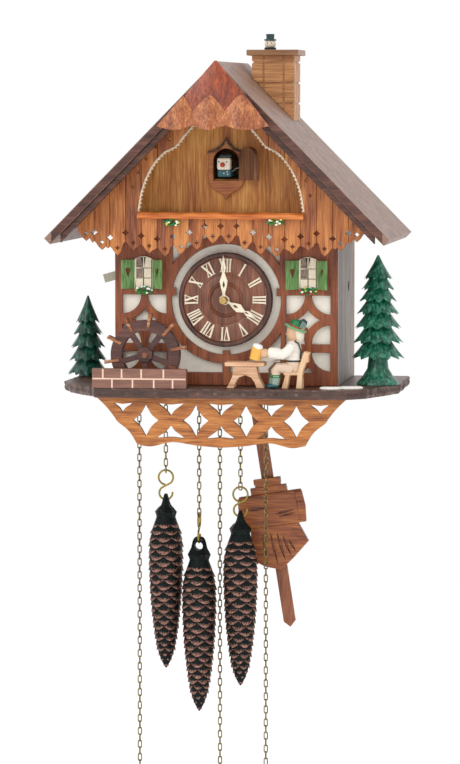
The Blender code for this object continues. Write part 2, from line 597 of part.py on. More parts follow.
def make_pendulum():
    """Wooden rod hung on the rear plate's post, its bob gripping the rod, and the crutch."""
    pivot = (0, PENDULUM_Y, PENDULUM_PIVOT)
    tilt = Matrix.Rotation(PENDULUM_TILT, 4, "Y")
    rod_outline = [(-0.8, -1.6), (0.8, -1.6), (0.8, -38), (4.6, -42), (4.6, -251), (-4.6, -251), (-4.6, -42),
                   (-0.8, -38)]
    plate("pendulum_rod", [rod_outline], "Y", (-1.5, 1.5), STAINED, origin=pivot, turn=tilt)
    bob_pivot = (0, PENDULUM_Y - 5, PENDULUM_PIVOT)
    right = [(10, -136), (10, -140), (14, -142), (14, -146.5), (24.5, -149), (25.5, -160), (24.5, -172),
             (19, -174), (18, -190), (12, -203), (0, -207)]
    outline = right + [(-x, z) for x, z in reversed(right[:-1])]
    plate("pendulum_bob", [outline], "Y", (-3.2, 3.2), STAINED, origin=bob_pivot, turn=tilt)
    crutch_pivot = (0, -47.2, PENDULUM_PIVOT)
    anchor = [(-1.6, -16), (1.6, -16), (1.6, 10), (9, 14), (8, 16), (0, 13.5), (-8, 16), (-9, 14),
              (-1.6, 10)]
    foot = [(-4, -20), (4, -20), (4, -14.5), (-4, -14.5)]
    crutch = as_mesh(plate("pallet_crutch", [anchor, circle((0, 0), 1.5, 10)], "Y", (-0.9, 0.9), STEEL,
                           origin=crutch_pivot, turn=tilt))
    yoke = as_mesh(plate("crutch_yoke", [foot], "Y", (-0.9, 0.9), STEEL, origin=crutch_pivot, turn=tilt))
    tines = [rod("tine", (side * 2.4, -0.5, -17), (side * 2.4, 7.5, -17), 0.9, STEEL, sides=8,
                 origin=(0, 0, 0))
             for side in (-1, 1)]
    for tine in tines:
        tine.matrix_world = Matrix.Translation(world(*crutch_pivot)) @ tilt
    combine(crutch, [yoke, *tines])


def make_voice():
    """Two whistle boxes with lifting bellows tops, the coil gong and its hammer."""
    boxes = {"left": ((-76, -50), (-44, -9)), "right": ((46, 76), (-106, -60))}
    for name, (x, y) in boxes.items():
        block(f"bellows_{name}", x, y, (GAP, 104), PALE_WOOD)
        hinge = ((x[0] + x[1]) / 2, y[1], 104 + GAP)
        block(f"bellows_top_{name}", x, y, (hinge[2], hinge[2] + 3), PALE_WOOD, origin=hinge)
    depth, centre_x, centre_z, turns, steps = -22, 36, 42, 2.5, 14
    coil = []
    for step in range(int(turns * steps) + 1):
        angle = 2 * math.pi * step / steps
        radius = 6 + 4 * step / steps
        coil.append((centre_x - radius * math.cos(angle), depth, centre_z + radius * math.sin(angle)))
    foot_x = coil[-1][0]
    wire("gong", coil + [(foot_x, depth, 30), (foot_x, depth, GAP)], 2.4, STEEL)
    pivot = (60, depth, 84)
    arm = [pivot, (60, depth, 60), (58, depth, 46)]
    hammer = as_mesh(wire("gong_hammer", arm, 1.6, STEEL, origin=pivot))
    head = rod("hammer_head", (55.5, depth, 44), (60.5, depth, 44), 3, STEEL, sides=12)
    combine(hammer, [head])


def make_lever():
    """Sheet-metal strip through the left side that stops the music and the call."""
    pivot = (-64, -47, 87)
    strip = [(0, 3.3), (-42, 3.3), (-42, -3.3), (0, -3.3)]
    plate("shut_off_lever", [strip + arc((0, 0), 3.3, -60, 60, 3)], "Y", (-0.6, 0.6), STEEL, origin=pivot,
          turn=Matrix.Rotation(math.radians(-16), 4, "Y"))


make_platform()
make_apron()
make_case()
make_timber_frame()
make_gable_boards()
make_roof()
make_chimney()
make_dial()
make_hands()
make_windows()
make_cuckoo()
make_trees()
make_mill()
make_drinker()
make_movement()
make_chain_wheels()
make_chains()
make_pendulum()
make_voice()
make_lever()
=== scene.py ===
import math
import random

import bmesh
import bpy
from mathutils import Matrix, Vector


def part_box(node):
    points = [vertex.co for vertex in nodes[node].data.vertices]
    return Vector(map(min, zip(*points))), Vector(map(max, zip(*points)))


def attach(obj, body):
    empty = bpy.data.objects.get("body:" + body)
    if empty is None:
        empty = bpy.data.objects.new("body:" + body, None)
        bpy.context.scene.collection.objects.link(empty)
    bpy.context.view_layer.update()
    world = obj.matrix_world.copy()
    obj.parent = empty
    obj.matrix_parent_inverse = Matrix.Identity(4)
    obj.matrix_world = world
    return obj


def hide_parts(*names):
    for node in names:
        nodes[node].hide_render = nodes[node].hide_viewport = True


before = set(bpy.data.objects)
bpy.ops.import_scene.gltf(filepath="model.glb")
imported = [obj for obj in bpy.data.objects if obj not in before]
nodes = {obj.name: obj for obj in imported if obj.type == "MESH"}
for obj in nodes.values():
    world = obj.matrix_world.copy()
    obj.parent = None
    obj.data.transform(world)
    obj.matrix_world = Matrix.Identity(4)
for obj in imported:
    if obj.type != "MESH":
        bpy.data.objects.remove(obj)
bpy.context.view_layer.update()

# ---------------------------------------------------------------- camera
# A long lens a little to the right of the clock and just above its hanger, turned back to
# it and tipped down, so that the right side and the top of the roof show.
MM = 0.001
camera_data = bpy.data.cameras.new("camera")
camera_data.sensor_width = 36
camera_data.lens = 180.67
camera = bpy.data.objects.new("camera", camera_data)
camera.location = (0.3940, -2.9339, 0.0070)
camera.rotation_euler = (math.radians(85.784), 0, math.radians(7.914))
bpy.context.scene.collection.objects.link(camera)
bpy.context.scene.camera = camera


def linear(code):
    """An sRGB hex value as the linear colour that shaders and lights take."""
    channels = [int(code[i:i + 2], 16) / 255 for i in (0, 2, 4)]
    return (*[c / 12.92 if c <= 0.04045 else ((c + 0.055) / 1.055) ** 2.4 for c in channels], 1.0)


def add_node(tree, kind, inputs=None, **settings):
    """A node with its settings, and its inputs either set or linked from other sockets."""
    node = tree.nodes.new(kind)
    for setting, value in settings.items():
        setattr(node, setting, value)
    for socket, value in (inputs or {}).items():
        if isinstance(value, bpy.types.NodeSocket):
            tree.links.new(value, node.inputs[socket])
        else:
            node.inputs[socket].default_value = value
    return node


def noise_at(tree, place, scale, detail):
    """Noise laid out in the piece's own space."""
    return add_node(tree, "ShaderNodeTexNoise", {
        "Vector": place.outputs["Object"], "Scale": scale, "Detail": detail})


def new_finish(name, **settings):
    """A material with a Principled shader, and the tree and shader to build on."""
    finish = bpy.data.materials.new(name)
    finish.use_nodes = True
    shader = finish.node_tree.nodes["Principled BSDF"]
    for socket, value in settings.items():
        shader.inputs[socket.replace("_", " ")].default_value = value
    return finish, finish.node_tree, shader


# ---------------------------------------------------------------- studio
# White air all round and a plain pale floor well under the clock. A large soft key from the
# upper left gives it shape; the roof strip and the fill only open the shadows.
paper, _, paper_shader = new_finish("studio_paper", Roughness=0.95, Specular_IOR_Level=0.0)
paper_shader.inputs["Base Color"].default_value = linear("fafafa")
paper_shader.inputs["Emission Color"].default_value = linear("ffffff")
paper_shader.inputs["Emission Strength"].default_value = 0.12
FLOOR, FLOOR_HALF = -1.25, 7.0
floor_mesh = bpy.data.meshes.new("paper_floor")
floor_mesh.from_pydata([(x, y, FLOOR) for x, y in ((-FLOOR_HALF, -FLOOR_HALF), (FLOOR_HALF, -FLOOR_HALF),
        (FLOOR_HALF, FLOOR_HALF), (-FLOOR_HALF, FLOOR_HALF))],
    [], [(0, 1, 2, 3)])
floor_mesh.materials.append(paper)
paper_floor = bpy.data.objects.new("paper_floor", floor_mesh)
bpy.context.scene.collection.objects.link(paper_floor)

for light_name, spot, size, watts in (
        ("key_softbox", (-1.5, -2.4, 1.5), (1.6, 1.6), 26),
        ("roof_strip", (1.5, -0.9, 1.5), (1.2, 1.6), 2),
        ("front_fill", (1.1, -3.0, -0.4), (2.0, 2.0), 9),
        ("top_light", (0.0, -0.6, 2.2), (1.6, 1.2), 2)):
    light = bpy.data.lights.new(light_name, "AREA")
    light.shape = "RECTANGLE"
    light.size, light.size_y = size
    light.energy = watts
    lamp = bpy.data.objects.new(light_name, light)
    lamp.location = spot
    lamp.rotation_euler = (Vector((0, -0.1, -0.15)) - Vector(spot)).to_track_quat("-Z", "Y").to_euler()
    bpy.context.scene.collection.objects.link(lamp)
world = bpy.data.worlds.new("studio_air")
world.use_nodes = True
world.node_tree.nodes["Background"].inputs["Color"].default_value = linear("ffffff")
world.node_tree.nodes["Background"].inputs["Strength"].default_value = 1.0
bpy.context.scene.world = world
bpy.context.scene.view_settings.view_transform = "Standard"

# ---------------------------------------------------------------- chains
# Machine-made oval-link chain of brass-plated steel wire, five millimetres a link, one for
# each train. A Geometry Nodes tree threads the links along the chain's run, every second
# one turned a quarter. Each chain is 1.83 m; what the clock doesn't use hangs in a hank. The
# weight side has its travel more, above the wheel, so that it still reaches when it drops.
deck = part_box("platform")[1].z
LINK_PITCH, LINK_WIRE, CHAIN_WIDTH = 5.0, 0.95, 3.4
WHEEL_AXIS, WEIGHT_TRAVEL = 30.0, 40.0
CHAIN_LENGTH = 1830.0
HANK_RUN, HANK_LAYER, HANK_OUTER = 46.0, 3.6, 17.2
HANK_TOP, FACE_GAP = -302.0, 0.3
END_RING_RADIUS, TURN_STEPS = 4.6, 24
CHAIN_RUNS = {1: (-62.0, -54.5, -74.9, -68.7), 2: (-68.0, -28.0, -12.1, -100.5),
    3: (-68.0, 3.6, 23.1, -80.3)}          # depth, weight side, free side, hook top


def at(x, y, z):
    """A place in the frame, from millimetres: right, towards the wall, above the deck."""
    return Vector((x * MM, y * MM, deck + z * MM))


def plain_mesh(source, name):
    """A new object with the evaluated mesh of another, which is removed."""
    bpy.context.view_layer.update()
    mesh = bpy.data.meshes.new_from_object(
        source.evaluated_get(bpy.context.evaluated_depsgraph_get()))
    mesh.transform(source.matrix_world)
    mesh.name = name
    bpy.data.objects.remove(source)
    piece = bpy.data.objects.new(name, mesh)
    bpy.context.scene.collection.objects.link(piece)
    return piece


def run_tree(source, tree, name, **inputs):
    """Runs a Geometry Nodes tree on an object, its inputs given by name, and keeps the mesh."""
    step = source.modifiers.new("build", "NODES")
    step.node_group = tree
    for item in tree.interface.items_tree:
        if item.in_out == "INPUT" and item.name in inputs:
            step[item.identifier] = inputs[item.name]
    return plain_mesh(source, name)


def new_tree(name, **sockets):
    """A Geometry Nodes tree with named inputs, its input node and its output node."""
    tree = bpy.data.node_groups.new(name, "GeometryNodeTree")
    tree.interface.new_socket("Geometry", in_out="OUTPUT", socket_type="NodeSocketGeometry")
    tree.interface.new_socket("Geometry", in_out="INPUT", socket_type="NodeSocketGeometry")
    for socket, kind in sockets.items():
        tree.interface.new_socket(socket, in_out="INPUT", socket_type="NodeSocket" + kind)
    return tree, add_node(tree, "NodeGroupInput"), add_node(tree, "NodeGroupOutput")


def path_curve(name, points):
    curve = bpy.data.curves.new(name, "CURVE")
    curve.dimensions = "3D"
    spline = curve.splines.new("POLY")
    spline.points.add(len(points) - 1)
    for point, place in zip(spline.points, points):
        point.co = (*place, 1.0)
    thread = bpy.data.objects.new(name, curve)
    bpy.context.scene.collection.objects.link(thread)
    return thread


links, given, made = new_tree("chain_links", Pitch="Float", Wire="Float", Width="Float", Finish="Material")
threaded = add_node(links, "GeometryNodeResampleCurve", {
    "Curve": given.outputs["Geometry"], "Length": given.outputs["Pitch"]}, mode="LENGTH")
inner = add_node(links, "ShaderNodeMath", {0: given.outputs["Width"], 1: given.outputs["Wire"]},
    operation="SUBTRACT")
long_side = add_node(links, "ShaderNodeMath", {0: given.outputs["Pitch"], 1: given.outputs["Wire"]},
    operation="ADD")
oval = add_node(links, "GeometryNodeCurvePrimitiveQuadrilateral", {
    "Width": inner.outputs[0], "Height": long_side.outputs[0]})
corner = add_node(links, "ShaderNodeMath", {0: inner.outputs[0], 1: 0.499}, operation="MULTIPLY")
rounded = add_node(links, "GeometryNodeFilletCurve", {
    "Curve": oval.outputs[0], "Radius": corner.outputs[0], "Count": 3}, mode="POLY")
thickness = add_node(links, "ShaderNodeMath", {0: given.outputs["Wire"], 1: 0.5}, operation="MULTIPLY")
section = add_node(links, "GeometryNodeCurvePrimitiveCircle", {
    "Resolution": 5, "Radius": thickness.outputs[0]})
link = add_node(links, "GeometryNodeCurveToMesh", {
    "Curve": rounded.outputs[0], "Profile Curve": section.outputs[0]})
tangent = add_node(links, "GeometryNodeInputTangent")
normal = add_node(links, "GeometryNodeInputNormal")
across = add_node(links, "ShaderNodeVectorMath", {0: tangent.outputs[0], 1: normal.outputs[0]},
    operation="CROSS_PRODUCT")
count = add_node(links, "GeometryNodeInputIndex")
every_second = add_node(links, "ShaderNodeMath", {0: count.outputs[0], 1: 2.0}, operation="MODULO")
side = add_node(links, "GeometryNodeSwitch", {
    "Switch": every_second.outputs[0], "False": normal.outputs[0], "True": across.outputs[0]},
    input_type="VECTOR")
turn = add_node(links, "FunctionNodeAxesToRotation", {
    "Primary Axis": tangent.outputs[0], "Secondary Axis": side.outputs[0]},
    primary_axis="Y", secondary_axis="X")
hung = add_node(links, "GeometryNodeInstanceOnPoints", {
    "Points": threaded.outputs[0], "Instance": link.outputs[0], "Rotation": turn.outputs[0]})
real = add_node(links, "GeometryNodeRealizeInstances", {"Geometry": hung.outputs[0]})
smooth = add_node(links, "GeometryNodeSetShadeSmooth", {"Geometry": real.outputs[0]})
dressed = add_node(links, "GeometryNodeSetMaterial", {
    "Geometry": smooth.outputs[0], "Material": given.outputs["Finish"]})
links.links.new(dressed.outputs[0], made.inputs[0])

# Brass plate that has dulled in air: warm grey-gold, lighter and darker in random patches.
chain_brass, tree, shader = new_finish("aged_brass_plate", Metallic=1.0, Roughness=0.34)
place_on = add_node(tree, "ShaderNodeTexCoord")
tarnish = noise_at(tree, place_on, 420.0, 3.0)
tone = add_node(tree, "ShaderNodeValToRGB", {"Fac": tarnish.outputs["Fac"]})
tone.color_ramp.elements[0].position, tone.color_ramp.elements[0].color = 0.35, linear("5a4e2e")
tone.color_ramp.elements[1].position, tone.color_ramp.elements[1].color = 0.65, linear("9f8b57")
tree.links.new(tone.outputs["Color"], shader.inputs["Base Color"])

twine, tree, shader = new_finish("cotton_tie", Roughness=0.85)
shader.inputs["Base Color"].default_value = linear("cfc6ae")

for number, (depth, weight_x, free_x, hook_top) in CHAIN_RUNS.items():
    weight_run = WHEEL_AXIS + WEIGHT_TRAVEL - hook_top
    steps = 16
    route = [at(weight_x, depth, WHEEL_AXIS + WEIGHT_TRAVEL - weight_run * i / steps)
        for i in range(steps + 1)]
    weight_chain = run_tree(path_curve("run", route), links, f"chain_to_weight_{number}",
        Pitch=LINK_PITCH * MM, Wire=LINK_WIRE * MM, Width=CHAIN_WIDTH * MM,
        Finish=chain_brass)
    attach(weight_chain, f"weight_{number}")
    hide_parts(f"weight_chain_{number}")
    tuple(route[0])

    free_run = WHEEL_AXIS - HANK_TOP
    route = [at(free_x, depth, WHEEL_AXIS - free_run * i / 30) for i in range(31)]
    middle_y = depth + HANK_OUTER
    run_top = HANK_TOP - 2 * FACE_GAP - HANK_OUTER - CHAIN_WIDTH / 2
    left = CHAIN_LENGTH - (weight_run - WEIGHT_TRAVEL) - free_run
    wound, turn_step, last = 0.0, 0, route[-1]
    while wound < left * MM:
        loop, part = divmod(turn_step, TURN_STEPS)
        layer, slot = divmod(loop, 3)
        slots = (-1, 0, 1) if layer % 2 == 0 else (1, 0, -1)
        here = slots[slot]
        onward = here if slot == 2 else slots[slot + 1]
        shift = here + (onward - here) * max(0.0, (part - 14) / 10)
        radius = HANK_OUTER - HANK_LAYER * (layer + (max(0.0, (part - 14) / 10) if slot == 2 else 0))
        if part < 6:                       # down the front run
            y, z = -radius, run_top - HANK_RUN * part / 6
        elif part < 12:                    # round the bottom
            angle = math.pi * (part - 6) / 6
            y, z = -radius * math.cos(angle), run_top - HANK_RUN - radius * math.sin(angle)
        elif part < 18:                    # up the back run
            y, z = radius, run_top - HANK_RUN + HANK_RUN * (part - 12) / 6
        else:                              # over the top
            angle = math.pi * (part - 18) / 6
            y, z = radius * math.cos(angle), run_top + radius * math.sin(angle)
        place = at(free_x + shift * HANK_LAYER, middle_y + y, z)
        wound += (place - last).length
        route.append(place)
        last = place
        turn_step += 1
    free_chain = run_tree(path_curve("run", route), links, f"chain_free_side_{number}",
        Pitch=LINK_PITCH * MM, Wire=LINK_WIRE * MM, Width=CHAIN_WIDTH * MM,
        Finish=chain_brass)
    end_ring_shape = bpy.data.curves.new("ring", "CURVE")
    end_ring_shape.dimensions = "3D"
    end_ring_shape.bevel_depth = 0.6 * MM
    end_ring_shape.bevel_resolution = 3
    spline = end_ring_shape.splines.new("POLY")
    spline.use_cyclic_u = True
    spline.points.add(23)
    for i, point in enumerate(spline.points):
        angle = 2 * math.pi * i / 24
        point.co = (*(last + END_RING_RADIUS * MM * Vector((0, math.sin(angle), math.cos(angle) - 1))), 1)
    ring_thread = bpy.data.objects.new("ring", end_ring_shape)
    bpy.context.scene.collection.objects.link(ring_thread)
    end_ring = plain_mesh(ring_thread, f"chain_end_ring_{number}")
    end_ring.data.materials.append(chain_brass)
    end_ring.data.shade_smooth()
    tie_middle = at(free_x, middle_y, run_top - HANK_RUN / 2)
    tie_curve = bpy.data.curves.new("tie", "CURVE")
    tie_curve.dimensions = "3D"
    tie_curve.bevel_depth = 0.5 * MM
    tie_curve.bevel_resolution = 2
    tie_curve.use_fill_caps = True
    spline = tie_curve.splines.new("POLY")
    tie_points = []
    for i in range(3 * 24 + 1):
        angle = 2 * math.pi * i / 24
        wide, deep = 6.1, HANK_OUTER + 2.4
        tie_points.append(tie_middle + Vector((wide * MM
            * math.copysign(abs(math.cos(angle)) ** 0.5, math.cos(angle)),
                deep * MM * math.copysign(abs(math.sin(angle)) ** 0.5,
                math.sin(angle)),
                (i / 24 - 1.5) * 1.05 * MM)))
    spline.points.add(len(tie_points) - 1)
    for point, place in zip(spline.points, tie_points):
        point.co = (*place, 1.0)
    tie_thread = bpy.data.objects.new("tie", tie_curve)
    bpy.context.scene.collection.objects.link(tie_thread)
    tie = plain_mesh(tie_thread, f"hank_tie_{number}")
    tie.data.materials.append(twine)
    for piece in (free_chain, end_ring, tie):
        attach(piece, f"free_chain_{number}")
    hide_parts(f"free_chain_{number}", f"chain_hank_{number}")
    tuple(route[0])

# ---------------------------------------------------------------- cone weights
# Hollow-cast iron pine cones of about 275 g, dipped dark green-black and brushed over with
# copper so that the lips of the scales catch it. The tip is a flattened lug with an eye.
# A Geometry Nodes tree sets one scale on each mark of six to a row, the rows half a step on.
SCALES_A_ROW, ROW_PITCH, SCALE_HIGH = 6, 4.55, 10.4
EYE_DROP, EYE_RADIUS = 7.0, 3.1
CONE_BODY = [(21.5, 8.0), (25, 9.4), (30, 11.3), (39, 12.4), (55, 12.5), (78, 11.6), (90, 10.7),
    (102, 9.5), (113, 8.0), (122, 6.4), (128, 4.0), (133.5, 0.6)]
LUG = [(0.0, 2.6, 1.2), (1.2, 4.0, 1.6), (3.2, 5.0, 2.2), (8.5, 6.2, 4.2), (13.7, 8.9, 8.5),
       (16.4, 7.8, 7.6), (19.2, 7.0, 7.0), (20.6, 8.2, 8.2), (22.2, 8.4, 8.4)]   # drop, half sizes

# Cast iron with a blackened copper patina: rough and dark green-black in the hollows, where
# the brush missed, and warm rose copper with a soft gloss on the lips.
cone_iron, tree, shader = new_finish("patinated_cast_iron", Metallic=0.75)
place_on = add_node(tree, "ShaderNodeTexCoord")
lip = add_node(tree, "ShaderNodeAttribute", attribute_name="lip")
casting = add_node(tree, "ShaderNodeTexNoise", {
    "Vector": place_on.outputs["Object"], "Scale": 900.0, "Detail": 4.0, "Roughness": 0.65})
brushed = add_node(tree, "ShaderNodeMath", {0: lip.outputs["Fac"], 1: casting.outputs["Fac"], 2: -0.30},
    operation="MULTIPLY_ADD")
caught = add_node(tree, "ShaderNodeMapRange", {
    "Value": brushed.outputs[0], "From Min": -0.04, "From Max": 0.3})
patina = add_node(tree, "ShaderNodeValToRGB", {"Fac": casting.outputs["Fac"]})
patina.color_ramp.elements[0].position, patina.color_ramp.elements[0].color = 0.35, linear("050707")
patina.color_ramp.elements[1].position, patina.color_ramp.elements[1].color = 0.68, linear("1b2625")
copper = add_node(tree, "ShaderNodeMix", {
    0: caught.outputs[0], 6: patina.outputs["Color"], 7: linear("cf9785")}, data_type="RGBA")
tree.links.new(copper.outputs[2], shader.inputs["Base Color"])
gloss = add_node(tree, "ShaderNodeMapRange", {
    "Value": caught.outputs[0], "To Min": 0.62, "To Max": 0.38})
tree.links.new(gloss.outputs[0], shader.inputs["Roughness"])
pits = add_node(tree, "ShaderNodeBump", {
    "Height": casting.outputs["Fac"], "Strength": 0.5, "Distance": 0.0004})
tree.links.new(pits.outputs[0], shader.inputs["Normal"])

set_out, given, made = new_tree("set_out", Template="Object", Finish="Material", Size="Float")
template = add_node(set_out, "GeometryNodeObjectInfo", {"Object": given.outputs["Template"]})
facing = add_node(set_out, "GeometryNodeInputNamedAttribute", {"Name": "turn"}, data_type="FLOAT_VECTOR")
spread = add_node(set_out, "GeometryNodeInputNamedAttribute", {"Name": "spread"}, data_type="FLOAT_VECTOR")
sized = add_node(set_out, "ShaderNodeVectorMath", {
    0: spread.outputs[0], "Scale": given.outputs["Size"]}, operation="SCALE")
euler = add_node(set_out, "FunctionNodeEulerToRotation", {0: facing.outputs[0]})
laid = add_node(set_out, "GeometryNodeInstanceOnPoints", {
    "Points": given.outputs["Geometry"], "Instance": template.outputs["Geometry"],
    "Rotation": euler.outputs[0], "Scale": sized.outputs[0]})
real = add_node(set_out, "GeometryNodeRealizeInstances", {"Geometry": laid.outputs[0]})
dressed = add_node(set_out, "GeometryNodeSetMaterial", {
    "Geometry": real.outputs[0], "Material": given.outputs["Finish"]})
set_out.links.new(dressed.outputs[0], made.inputs[0])


def marks(spots):
    """A loose point for each spot: its place, how it is turned and how large it is."""
    mesh = bpy.data.meshes.new("marks")
    mesh.from_pydata([spot[0] for spot in spots], [], [])
    for column, attribute in ((1, "turn"), (2, "spread")):
        layer = mesh.attributes.new(attribute, "FLOAT_VECTOR", "POINT")
        layer.data.foreach_set("vector", [value for spot in spots for value in spot[column]])
    holder = bpy.data.objects.new("marks", mesh)
    bpy.context.scene.collection.objects.link(holder)
    return holder


def new_piece(name, verts, faces, finish, smooth=True):
    """A mesh piece with its faces turned outwards."""
    mesh = bpy.data.meshes.new(name)
    shape = bmesh.new()
    made_verts = [shape.verts.new(v) for v in verts]
    for face in faces:
        shape.faces.new([made_verts[i] for i in face])
    bmesh.ops.remove_doubles(shape, verts=shape.verts, dist=1e-6)
    bmesh.ops.recalc_face_normals(shape, faces=shape.faces)
    shape.to_mesh(mesh)
    shape.free()
    mesh.materials.append(finish)
    if smooth:
        mesh.shade_smooth()
        mesh.set_sharp_from_angle(angle=math.radians(40))
    piece = bpy.data.objects.new(name, mesh)
    bpy.context.scene.collection.objects.link(piece)
    return piece


def loft(name, rings, finish, smooth=True):
    """A closed skin over rings of equally many points, with flat ends."""
    count = len(rings[0])
    faces = [(r * count + i, r * count + (i + 1) % count, (r + 1) * count + (i + 1) % count,
        (r + 1) * count + i)
        for r in range(len(rings) - 1) for i in range(count)]
    faces += [tuple(range(count)), tuple(range((len(rings) - 1) * count, len(rings) * count))]
    return new_piece(name, [p for ring in rings for p in ring], faces, finish, smooth)


def join(name, pieces):
    """One piece from several, which are removed."""
    shape = bmesh.new()
    finishes = []
    for piece in pieces:
        start = len(shape.faces)
        for material in piece.data.materials:
            if material not in finishes:
                finishes.append(material)
        lookup = [finishes.index(material) for material in piece.data.materials]
        shape.from_mesh(piece.data)
        shape.faces.ensure_lookup_table()
        for face in shape.faces[start:]:
            face.material_index = lookup[face.material_index] if lookup else 0
    mesh = bpy.data.meshes.new(name)
    shape.to_mesh(mesh)
    shape.free()
    for material in finishes:
        mesh.materials.append(material)
    for piece in pieces:
        bpy.data.objects.remove(piece)
    whole = bpy.data.objects.new(name, mesh)
    bpy.context.scene.collection.objects.link(whole)
    return whole


def cut(piece, tool, operation="DIFFERENCE"):
    """Cuts the piece with a tool, which is removed."""
    step = piece.modifiers.new("cut", "BOOLEAN")
    step.operation = operation
    step.object = tool
    name = piece.name
    piece.name = "uncut"
    finished = plain_mesh(piece, name)
    bpy.data.objects.remove(tool)
    return finished


def bar(name, start, end, radius, finish, sides=24, end_radius=None):
    """A round bar or cone between two places."""
    start, end = Vector(start), Vector(end)
    frame_of = (end - start).to_track_quat("Z", "Y")
    rings = []
    for place, size in ((start, radius), (end, radius if end_radius is None else end_radius)):
        rings.append([place + frame_of @ Vector((size * math.cos(2 * math.pi * i / sides),
                size * math.sin(2 * math.pi * i / sides), 0))
            for i in range(sides)])
    return loft(name, rings, finish)


def bent_wire(name, points, diameter, finish, resolution=3):
    """Round wire through the places, with flat ends."""
    thread = path_curve("thread", points)
    thread.data.bevel_depth = diameter / 2
    thread.data.bevel_resolution = resolution
    thread.data.use_fill_caps = True
    piece = plain_mesh(thread, name)
    piece.data.materials.append(finish)
    piece.data.shade_smooth()
    return piece


ACROSS, DOWN = 6, 6
scale_points, scale_lips = [], []
for row in range(DOWN + 1):
    v = row / DOWN
    for column in range(ACROSS + 1):
        u = 2 * column / ACROSS - 1
        half = 6.9 * math.sin(math.radians(90) * (0.25 + 0.75 * min(1, v * 1.7)))
        drop = v * (1 - 0.36 * u * u)
        out = 0.1 + 1.9 * v ** 1.3 * (1 - 0.5 * u * u)
        scale_points.append((u * half, -out + 0.011 * (u * half) ** 2 * 4, -drop * SCALE_HIGH))
        scale_lips.append(max(0.0, v - 0.35) / 0.65 * (1 - 0.45 * u * u))
for column in range(ACROSS + 1):
    u = 2 * column / ACROSS - 1
    scale_points.append((u * 6.3, 1.6 + 0.9 * u * u, -(1 - 0.36 * u * u) * SCALE_HIGH + 1.0))
    scale_lips.append(0.0)
scale_faces = [(r * (ACROSS + 1) + c, r * (ACROSS + 1) + c + 1, (r + 1) * (ACROSS + 1) + c + 1,
    (r + 1) * (ACROSS + 1) + c) for r in range(DOWN + 1) for c in range(ACROSS)]
scale_mesh = bpy.data.meshes.new("cone_scale")
scale_mesh.from_pydata([Vector(p) * MM for p in scale_points], [], scale_faces)
scale_mesh.flip_normals()
layer = scale_mesh.attributes.new("lip", "FLOAT", "POINT")
layer.data.foreach_set("value", scale_lips)
scale_mesh.shade_smooth()
cone_scale = bpy.data.objects.new("cone_scale", scale_mesh)
bpy.context.scene.collection.objects.link(cone_scale)


def body_radius(drop):
    """Radius of the cone's body at a distance under its tip."""
    for (d0, r0), (d1, r1) in zip(CONE_BODY, CONE_BODY[1:]):
        if drop <= d1:
            return r0 + (r1 - r0) * max(0.0, drop - d0) / (d1 - d0)
    return CONE_BODY[-1][1]


# Polished brass wire, still warm in colour where the hooks hang.
hook_brass, tree, shader = new_finish("brass_wire", Metallic=1.0, Roughness=0.28)
shader.inputs["Base Color"].default_value = linear("95823f")

for number, (depth, weight_x, free_x, hook_top) in CHAIN_RUNS.items():
    tip = at(weight_x, depth, hook_top - 18.8)
    facing = Matrix.Rotation(math.radians(90 if number != 2 else 0), 3, "Z")
    rings = []
    for drop, wide, deep in LUG:
        corners = [(math.cos(math.radians(a)), math.sin(math.radians(a))) for a in range(0, 360, 45)]
        rings.append([tip + facing @ Vector((wide * c, deep * s, -drop)) * MM for c, s in corners])
    lug = loft("lug", rings, cone_iron, smooth=False)
    eye = bar("eye", tip + facing @ Vector((0, -20, -EYE_DROP)) * MM,
        tip + facing @ Vector((0, 20, -EYE_DROP)) * MM, EYE_RADIUS * MM, cone_iron)
    lug = cut(lug, eye)
    edge = lug.data.attributes.new("lip", "FLOAT", "POINT")
    edge.data.foreach_set("value", [0.35 + 0.25 * math.sin(v.co.z * 900 + v.co.x * 700)
        for v in lug.data.vertices])
    body_rings = [[tip + Vector((radius * 0.9 * math.cos(2 * math.pi * i / 24),
        radius * 0.9 * math.sin(2 * math.pi * i / 24),
            -drop)) * MM for i in range(24)]
        for drop, radius in CONE_BODY]
    body = loft("body", body_rings, cone_iron)
    body.data.attributes.new("lip", "FLOAT", "POINT")
    spots = []
    rows = int((CONE_BODY[-1][0] - 18.5) / ROW_PITCH)
    for row in range(rows):
        top = 17.0 + row * ROW_PITCH
        low = min(top + SCALE_HIGH * 0.8, 133)
        radius = body_radius(top + 2.5)
        lean = math.atan2(body_radius(low) - radius, low - top)
        girth = max(0.25, body_radius(low) / 12.5)
        for i in range(SCALES_A_ROW):
            angle = 2 * math.pi * (i + 0.5 * (row % 2)) / SCALES_A_ROW
            away = Vector((math.sin(angle), -math.cos(angle), 0))
            spots.append((tip + (away * (radius - 1.0) + Vector((0, 0, -top))) * MM,
                (-lean, 0, angle), (girth, 1.15 * max(0.8, girth), max(0.55, girth ** 0.5))))
    scales = run_tree(marks(spots), set_out, "scales", Template=cone_scale, Finish=cone_iron, Size=1.0)
    cone = join(f"cone_weight_{number}", [lug, body, scales])
    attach(cone, f"weight_{number}")
    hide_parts(f"weight_{number}")

    ring, bowl = 5.6, 5.1
    ring_middle, bowl_middle = -6.3, -18.2
    outline = [(ring * math.cos(math.radians(a)), ring_middle + ring * math.sin(math.radians(a)))
        for a in range(265, -51, -15)]
    outline += [(bowl * math.cos(math.radians(a)), bowl_middle + bowl * math.sin(math.radians(a)))
        for a in range(130, 381, 12)]
    hook = bent_wire(f"s_hook_{number}", [
        at(weight_x, depth, hook_top) + Vector((0, u, v) if number == 2 else (u, 0, v)) * MM
            for u, v in outline],
        1.5 * MM, hook_brass)
    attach(hook, f"weight_{number}")
bpy.data.objects.remove(cone_scale)

